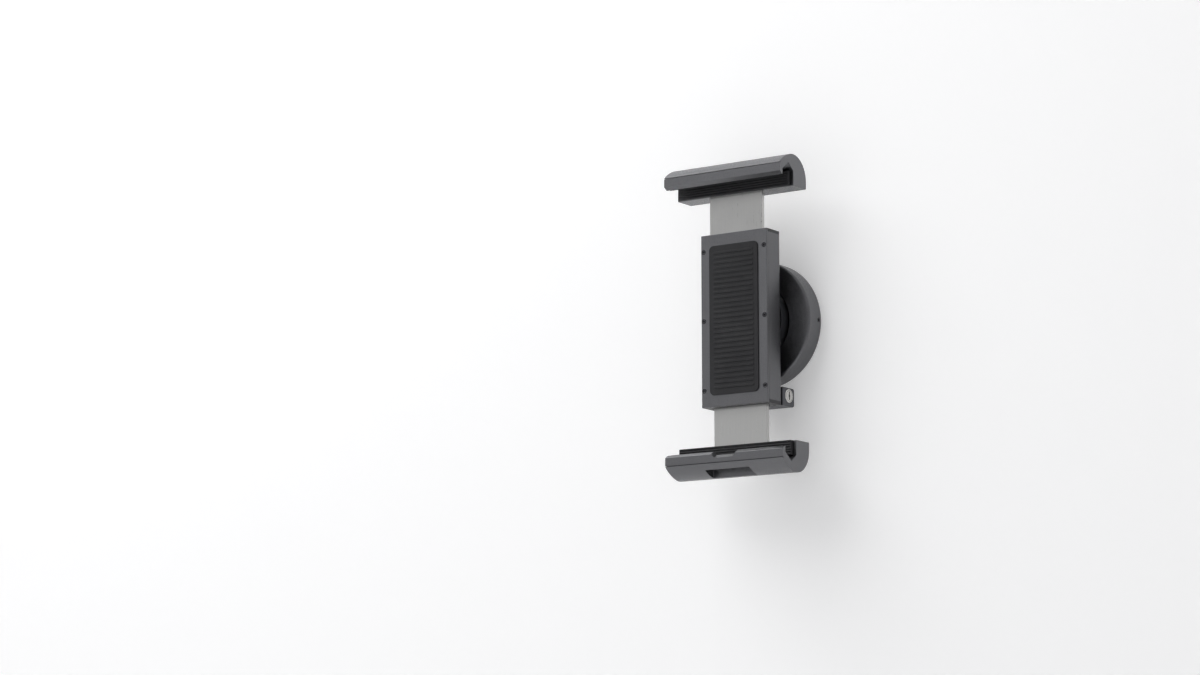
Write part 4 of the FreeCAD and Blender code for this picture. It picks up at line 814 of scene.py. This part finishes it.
    def ribbed_pad(self) -> Item:
        """Rubber bar behind the device, with fine grooves along its face.

        The face's depth is groove depth * (1 - cos(2 pi * height / pitch)) / 2 behind the pad's front.
        """
        node = self.prefix + "_back_pad"
        low, high = millimetres(node)
        share = np.linspace(0, 1, self.pad_grooves * self.pad_points + 1)
        height = low[2] + self.pad_edge + share * (high[2] - low[2] - 2 * self.pad_edge)
        wave = low[1] + self.pad_groove * (1 - np.cos(2 * math.pi * self.pad_grooves * share)) / 2
        back = [(low[1], high[2]), (high[1], high[2]), (high[1], low[2]), (low[1], low[2])]
        corners = np.vstack([np.column_stack([wave, height]), back])
        radii = np.concatenate([np.zeros(len(height)), self.pad_rounds])
        surface = bar(rounded(corners, radii), low[0], high[0], Along.X, self.pad_end)
        return settle(new_piece(self.prefix + "_grip_pad", surface), self.body, [node], "rubber_black")

    def lip_strip(self) -> Item:
        """Thin rubber behind the lip, with rounded edges."""
        node = self.prefix + "_lip_pad"
        low, high = millimetres(node)
        outline = box_outline(low[1:], high[1:], self.strip_round)
        strips = [bar(outline, *span, Along.X, self.strip_end) for span in self.strip_spans(low[0], high[0])]
        item = new_piece(self.prefix + "_lip_strip", reduce(Surface.joined, strips))
        return settle(item, self.body, [node], "rubber_black")

    def strip_spans(self, left: float, right: float) -> list[Pair]:
        """Where the lip's rubber runs along X."""
        return [(left, right)]

    def build(self) -> list[Item]:
        """Every new piece of the jaw."""
        return [self.clamp(), self.ribbed_pad(), self.lip_strip()]


@dataclass
class NotchedJaw(Jaw):
    """The lower jaw, with the lip notch and the window for a charging lead."""

    notch_width: float = 12.4
    notch_floor: float = 0.35
    notch_flare: float = 0.95
    notch_rounds: tuple[float, ...] = (0.35, 0.35, 0.0, 0.0)
    notch_lead: float = 0.3
    strip_gap: float = 0.1
    window_width: float = 30.5
    window_length: float = 9.3
    window_corner: float = 0.5

    def notch_ring(self, depth: float) -> Array:
        """The notch's trapezoid at a depth behind the lip's front: (K, 3) places.

        Its floor slopes like the lip's bevelled edge, and its sides flare out by a fixed share of
        the height over the floor.
        """
        floor = self.notch_floor + depth * self.lip_bevel / self.lip_thickness
        top = self.lip_reach + PAST
        half = self.notch_width / 2
        wide = half + self.notch_flare * (top - floor)
        outline = np.array([(-half, floor), (half, floor), (wide, top), (-wide, top)])
        shape = rounded(outline, np.array(self.notch_rounds), steps=4).points
        return np.column_stack([shape[:, 0], np.full(len(shape), self.low[1] + depth), self.held_edge + shape[:, 1]])

    def front_cutters(self) -> list[Surface]:
        """The lip notch and the lead window."""
        rings = [self.notch_ring(-self.notch_lead), self.notch_ring(self.lip_thickness + self.lip_gap)]
        half = self.window_width / 2
        window = box_outline((-half, self.face), (half, self.face + self.window_length), self.window_corner)
        return [stacked(np.stack(rings)), bar(window, self.low[2] - PAST, self.held_edge, Along.Z)]

    def strip_spans(self, left: float, right: float) -> list[Pair]:
        """The rubber stops at both sides of the notch."""
        inner = self.notch_width / 2 + self.notch_flare * self.lip_reach + self.strip_gap
        return [(left, -inner), (inner, right)]


@dataclass
class Column:
    """The column between the jaws: its cover and rubber face are new, the rest keeps the frame's shape."""

    rib_pitch: float = 3.0
    rib_width: float = 1.5
    rib_height: float = 0.35
    rib_margin: float = 3.0
    rib_roundness: float = 0.98
    rib_edge: float = 0.25
    rib_root: float = 0.1
    corner: float = 3.0
    sheet_edge: float = 0.2
    cover_edge: float = 0.3
    cover_end: float = 0.2
    screw_inset: float = 10.1
    screw_head: float = 1.7
    head_play: float = 0.05
    screw_hole: float = 1.05
    shaft_bore: float = 2.55
    shaft_depth: float = 1.0

    def cover_plate(self) -> Item:
        """Plate over the column's front: a flat section carried along Z, with six countersunk holes."""
        low, high = millimetres("front_cover")
        surface = bar(box_outline(low[:2], high[:2], self.cover_edge), low[2], high[2], Along.Z, self.cover_end)
        head = self.screw_head + self.head_play
        countersink = np.array([
            (low[1] - PAST, head + PAST),
            (low[1] + head - self.screw_hole, self.screw_hole),
            (high[1] + PAST, self.screw_hole),
        ])
        side = millimetres("cover_screws")[1][0] - self.screw_head
        far = high[2] - self.screw_inset
        cutters = [turned(countersink, (x, z), Along.Y) for x in (-side, side) for z in (-far, 0.0, far)]
        cutters.append(rod((0, 0), self.shaft_bore, high[1] - self.shaft_depth, high[1] + PAST, Along.Y))
        item = new_piece("cover_plate", surface, cutters)
        return settle(item, "carrier", ["front_cover"], "anodised_grey", "anodised_grey_z")

    def rubber_face(self) -> Item:
        """Rubber sheet with rounded ribs across it.

        The sheet is a rounded rectangle carried along Y, and each rib is a stadium of the same kind,
        repeated at an even pitch along Z.
        """
        low, high = millimetres("back_pad")
        front = low[1] + self.rib_height
        outline = box_outline(low[::2], high[::2], self.corner, steps=10)
        sheet = bar(outline, front, high[1], Along.Y, self.sheet_edge)
        half = (high[0] - low[0]) / 2 - self.rib_margin
        count = int((high[2] - low[2] - 2 * self.rib_margin) / self.rib_pitch)
        thick = self.rib_width / 2
        stadium = box_outline((-half, -thick), (half, thick), thick * self.rib_roundness, steps=8)
        rib = bar(stadium, low[1], front + self.rib_root, Along.Y, self.rib_edge)
        heights = self.rib_pitch * (np.arange(count) - (count - 1) / 2)
        ribs = [Surface(rib.places + (0, 0, height), rib.faces) for height in heights]
        item = new_piece("rubber_face", reduce(Surface.joined, ribs, sheet))
        return settle(item, "carrier", ["back_pad"], "rubber_black")

    def build(self) -> list[Item]:
        """Every new piece of the column."""
        return [self.cover_plate(), self.rubber_face()]


# Half of the keyway's outline in Y and Z about the key's axis. The other half is its opposite.
KEYWAY = np.array([(-0.45, -2.5), (0.45, -2.5), (0.45, -0.9), (0.7, -0.6), (0.7, 0.6), (0.45, 0.9)])


@dataclass
class KeyLock:
    """The lock's block under the swivel, and the barrel that the key turns."""

    block_rounds: tuple[float, ...] = (0.5, 1.5, 1.5, 0.5)
    block_end: float = 0.45
    wall: float = 1.0
    play: float = 0.05
    neck: float = 3.0
    neck_length: float = 1.4
    neck_chamfer: float = 0.2
    cam_reach: float = 5.1
    cam_screw_room: float = 0.6
    chamber_corner: float = 0.3
    screw_first: float = 3.8
    screw_spacing: float = 7.6
    screw_hole: float = 1.55
    rim: float = 0.5
    ring: float = 3.4
    ring_width: float = 0.3
    ring_depth: float = 0.35
    keyway_depth: float = 4.0
    keyway_corner: float = 0.1
    keyway_round: float = 0.03
    cam_screw_hole: float = 1.05
    cam_screw_depth: float = 3.0
    low: Array = field(init=False)
    high: Array = field(init=False)

    def __post_init__(self) -> None:
        """Read where the barrel lies from the frame."""
        self.low, self.high = millimetres("lock_barrel")
        middle = (self.low + self.high) / 2
        self.axis = (float(middle[1]), float(middle[2]))
        self.radius = float(self.high[2] - self.low[2]) / 2

    def block(self) -> Item:
        """The block: a rounded section along X, with the bores, the cam's chamber and two tapped holes."""
        low, high = millimetres("lock_housing")
        section = box_outline(low[1:], high[1:], self.block_rounds, steps=8)
        surface = bar(section, low[0], high[0], Along.X, self.block_end, steps=6)
        cam_right = self.low[0] - self.play
        shoulder = cam_right + self.neck_length
        cam_left = millimetres("cam_screw")[0][0] - self.cam_screw_room
        chamber = box_outline((cam_left, low[2] + self.wall), (cam_right, high[2] - self.wall), self.chamber_corner)
        middle = (low + high) / 2
        cutters = [
            bar(chamber, low[1] - PAST, self.axis[0] + self.cam_reach, Along.Y),
            rod(self.axis, self.neck + self.play, cam_right - PAST, shoulder + PAST, Along.X),
            rod(self.axis, self.radius + self.play, shoulder, high[0] + PAST, Along.X),
        ]
        for x in (low[0] + self.screw_first, low[0] + self.screw_first + self.screw_spacing):
            cutters.append(rod((x, middle[2]), self.screw_hole, low[1] - PAST, middle[1], Along.Y))
        item = new_piece("lock_block", surface, cutters)
        return settle(item, "carrier", ["lock_housing"], "anodised_dark", "anodised_dark_blasted")

    def barrel(self) -> Item:
        """The barrel: turned about the key's axis, with a rounded rim, a fine ring and a warded keyway.

        At an angle t from 0 to 90 degrees the rim lies rim * (1 - sin t) behind the face, at the
        barrel's radius less rim * (1 - cos t).
        """
        inner, face = float(self.low[0]), float(self.high[0])
        angle = np.linspace(0, math.pi / 2, 6)
        rim = np.column_stack([face - self.rim * (1 - np.sin(angle)), self.radius - self.rim * (1 - np.cos(angle))])
        wide, chamfer = inner + self.neck_length, self.neck_chamfer
        ring, floor = self.ring - self.ring_width, face - self.ring_depth
        profile = np.vstack([
            [(inner, self.neck - chamfer), (inner + chamfer, self.neck), (wide, self.neck), (wide, self.radius)],
            rim,
            [(face, self.ring), (floor, self.ring), (floor, ring), (face, ring)],
        ])
        corners = np.array(self.axis) + np.vstack([KEYWAY, -KEYWAY])
        keyway = rounded(corners, np.full(len(corners), self.keyway_corner), steps=4)
        cutters = [
            bar(keyway, face - self.keyway_depth, face + PAST, Along.X),
            rod(self.axis, self.cam_screw_hole, inner - PAST, inner + self.cam_screw_depth, Along.X),
        ]
        item = new_piece("key_barrel", turned(profile, self.axis, Along.X, 64), cutters, self.keyway_round)
        return settle(item, "lock_cylinder", ["lock_barrel"], "chrome")

    def build(self) -> list[Item]:
        """Every new piece of the lock."""
        return [self.block(), self.barrel()]


@dataclass
class WallBase:
    """The round cover over the wall screws. The rounds are those of its section's corners, in order."""

    wall: float = 1.5
    opening: float = 24.0
    rounds: tuple[float, ...] = (0.2, 0.3, 1.4, 0.35, 0.2, 0.3)
    sections: int = 160
    grub_radius: float = 1.55
    cut_round: float = 0.15

    def build(self) -> list[Item]:
        """The cover: an angle section turned about the swivel's axis, with two grub screw holes."""
        low, high = millimetres("base_rosette")
        screw_low, screw_high = millimetres("rosette_screws")
        outer = screw_high[0]
        inner = outer - self.wall
        back, front, floor = high[1], low[1], low[1] + self.wall
        corners = np.array([
            (back, inner), (back, outer), (front, outer),
            (front, self.opening), (floor, self.opening), (floor, inner),
        ])
        surface = lathe(rounded(corners, np.array(self.rounds), steps=8), self.sections)
        centre = ((screw_low[1] + screw_high[1]) / 2, 0.0)
        inside = inner - self.wall
        spans = ((inside, outer + PAST), (-outer - PAST, -inside))
        cutters = [rod(centre, self.grub_radius, *span, Along.X) for span in spans]
        item = new_piece("rosette_cover", surface, cutters, self.cut_round)
        return [settle(item, "wall_base", ["base_rosette"], "anodised_grey")]


# The studio


def aim(name: str, data: bpy.types.ID, place: Vector, forward: Vector) -> Item:
    """A lamp or camera at a place in metres, facing along a direction."""
    item = add_object(name, data)
    item.location = place
    item.rotation_mode = "QUATERNION"
    item.rotation_quaternion = forward.to_track_quat("-Z", "Y")
    return item


@dataclass(frozen=True)
class SoftBox:
    """A square area lamp.

    Args:
        name: the lamp's name.
        direction: from the mount to the lamp.
        distance: in metres.
        size: side in metres.
        watts: power.
    """

    name: str
    direction: Triple
    distance: float
    size: float
    watts: float

    def build(self) -> None:
        """Hang the lamp and aim it at the mount."""
        lamp = bpy.data.lights.new(self.name, "AREA")
        lamp.shape = "SQUARE"
        lamp.size = self.size
        lamp.energy = self.watts
        away = Vector(self.direction).normalized()
        aim(self.name, lamp, away * self.distance, -away)


@dataclass(frozen=True)
class PhotoCamera:
    """The camera that took the photograph, fitted to the known rectangle that the mount holds.

    Args:
        focal_pixels: focal length in pixels of the 1200 pixel wide photograph.
        photo_width: in pixels.
        place: in millimetres.
        forward: viewing direction.
        sensor: sensor width in millimetres.
        near: where the view begins, in metres.
        far: where it ends, in metres.
    """

    focal_pixels: float = 2949.9
    photo_width: float = 1200.0
    place: Triple = (919.1, -1491.3, -302.75)
    forward: Triple = (-0.56457, 0.80831, 0.16700)
    sensor: float = 36.0
    near: float = 0.05
    far: float = 50.0

    def build(self) -> None:
        """Make the camera and let the scene look through it."""
        data = bpy.data.cameras.new("photo_camera")
        data.sensor_width = self.sensor
        data.lens = self.sensor * self.focal_pixels / self.photo_width
        data.clip_start = self.near
        data.clip_end = self.far
        bpy.context.scene.camera = aim("photo_camera", data, Vector(self.place) * MM, Vector(self.forward))


@dataclass(frozen=True)
class Studio:
    """A pale wall and floor, each seen only from its front, under soft lamps.

    Args:
        wall_tone: the wall's colour.
        floor_tone: the floor's colour.
        roughness: of both.
        gloss: of both.
        room_tone: what the room beyond gives off.
        room_blue: how much more blue that has.
        lift: how much paler wall and floor look to the camera than they light the mount.
        wall_half: half the wall's side, in metres.
        wall_gap: how far the wall lies behind the mount, in metres.
        floor_drop: the floor below the mount, in metres.
    """

    wall_tone: float = 0.88
    floor_tone: float = 0.70
    roughness: float = 0.9
    gloss: float = 0.1
    room_tone: float = 0.45
    room_blue: float = 1.02
    lift: float = 0.23
    wall_half: float = 3.0
    wall_gap: float = 0.0004
    floor_drop: float = 0.9

    def backdrop(self, name: str, tone: float, corners: list[Triple]) -> None:
        """A flat sheet that only its front side shows, and that lets lamps behind it through.

        Args:
            name: the sheet's name.
            tone: its colour.
            corners: in metres, anticlockwise as seen from the front.
        """
        item = make_object(name, Surface(np.array(corners) / MM, [(0, 1, 2, 3)]))
        material = bpy.data.materials.new(name)
        material.use_nodes = True
        nodes = material.node_tree.nodes
        shader = nodes["Principled BSDF"]
        board = Board(material.node_tree)
        path = board.node("ShaderNodeLightPath").outputs
        seen = board.math("MAXIMUM", path["Is Camera Ray"], path["Is Glossy Ray"])
        seen = board.math("MAXIMUM", seen, path["Is Transmission Ray"])
        board.feed(shader, {
            "Base Color": rgba((tone, tone, tone)),
            "Roughness": self.roughness,
            "Specular IOR Level": self.gloss,
            "Emission Color": rgba((1, 1, 1)),
            "Emission Strength": board.math("MULTIPLY", seen, self.lift),
        })
        behind = board.node("ShaderNodeNewGeometry").outputs["Backfacing"]
        clear = board.node("ShaderNodeBsdfTransparent").outputs[0]
        open_to = board.math("MAXIMUM", behind, path["Is Shadow Ray"])
        mix = board.node("ShaderNodeMixShader", {0: open_to, 1: shader.outputs[0], 2: clear})
        board.feed(nodes["Material Output"], {"Surface": mix.outputs[0]})
        item.data.materials.append(material)

    def build(self) -> None:
        """Set the wall, the floor, the room's light and the lamps."""
        half, y, z = self.wall_half, self.wall_gap, -self.floor_drop
        left, right = (-half, y, z), (half, y, z)
        self.backdrop("wall", self.wall_tone, [left, right, (half, y, half), (-half, y, half)])
        self.backdrop("floor", self.floor_tone, [(-half, -half, z), (half, -half, z), right, left])
        world = bpy.data.worlds.new("room")
        world.use_nodes = True
        room = world.node_tree.nodes["Background"]
        room.inputs["Color"].default_value = (self.room_tone, self.room_tone, self.room_tone * self.room_blue, 1)
        room.inputs["Strength"].default_value = 1.0
        bpy.context.scene.world = world
        SoftBox("key", (-0.42, -0.50, 0.76), 1.7, 1.5, 18.0).build()
        SoftBox("overhead", (-0.50, -0.20, 0.84), 1.5, 0.8, 6.0).build()
        SoftBox("front_fill", (-0.56, -0.80, -0.12), 2.0, 1.2, 1.8).build()
        SoftBox("rear_fill", (0.2, 1.0, 0.3), 1.6, 1.2, 7.0).build()
        bpy.context.scene.view_settings.view_transform = "Standard"


def dress_frame() -> None:
    """Give each piece that keeps the frame's shape the finish of its slot."""
    for row in frame["record"]["subparts"]:
        node = row["node"]
        finish = FINISH_OF_NODE.get(node, row["material_slot"])
        dress(frame["nodes"][node], finish)
        LOG.info("%s: %s", node, finish)


def main() -> None:
    """Dress the frame, build the sub-assemblies in order and set the studio."""
    logging.basicConfig(level=logging.INFO, format="%(name)s: %(message)s")
    dress_frame()
    for assembly in (WallBase(), Column(), KeyLock(), Jaw("upper", 1), NotchedJaw("lower", -1)):
        for piece in assembly.build():
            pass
    Studio().build()
    PhotoCamera().build()


if __name__ == "__main__":
    main()
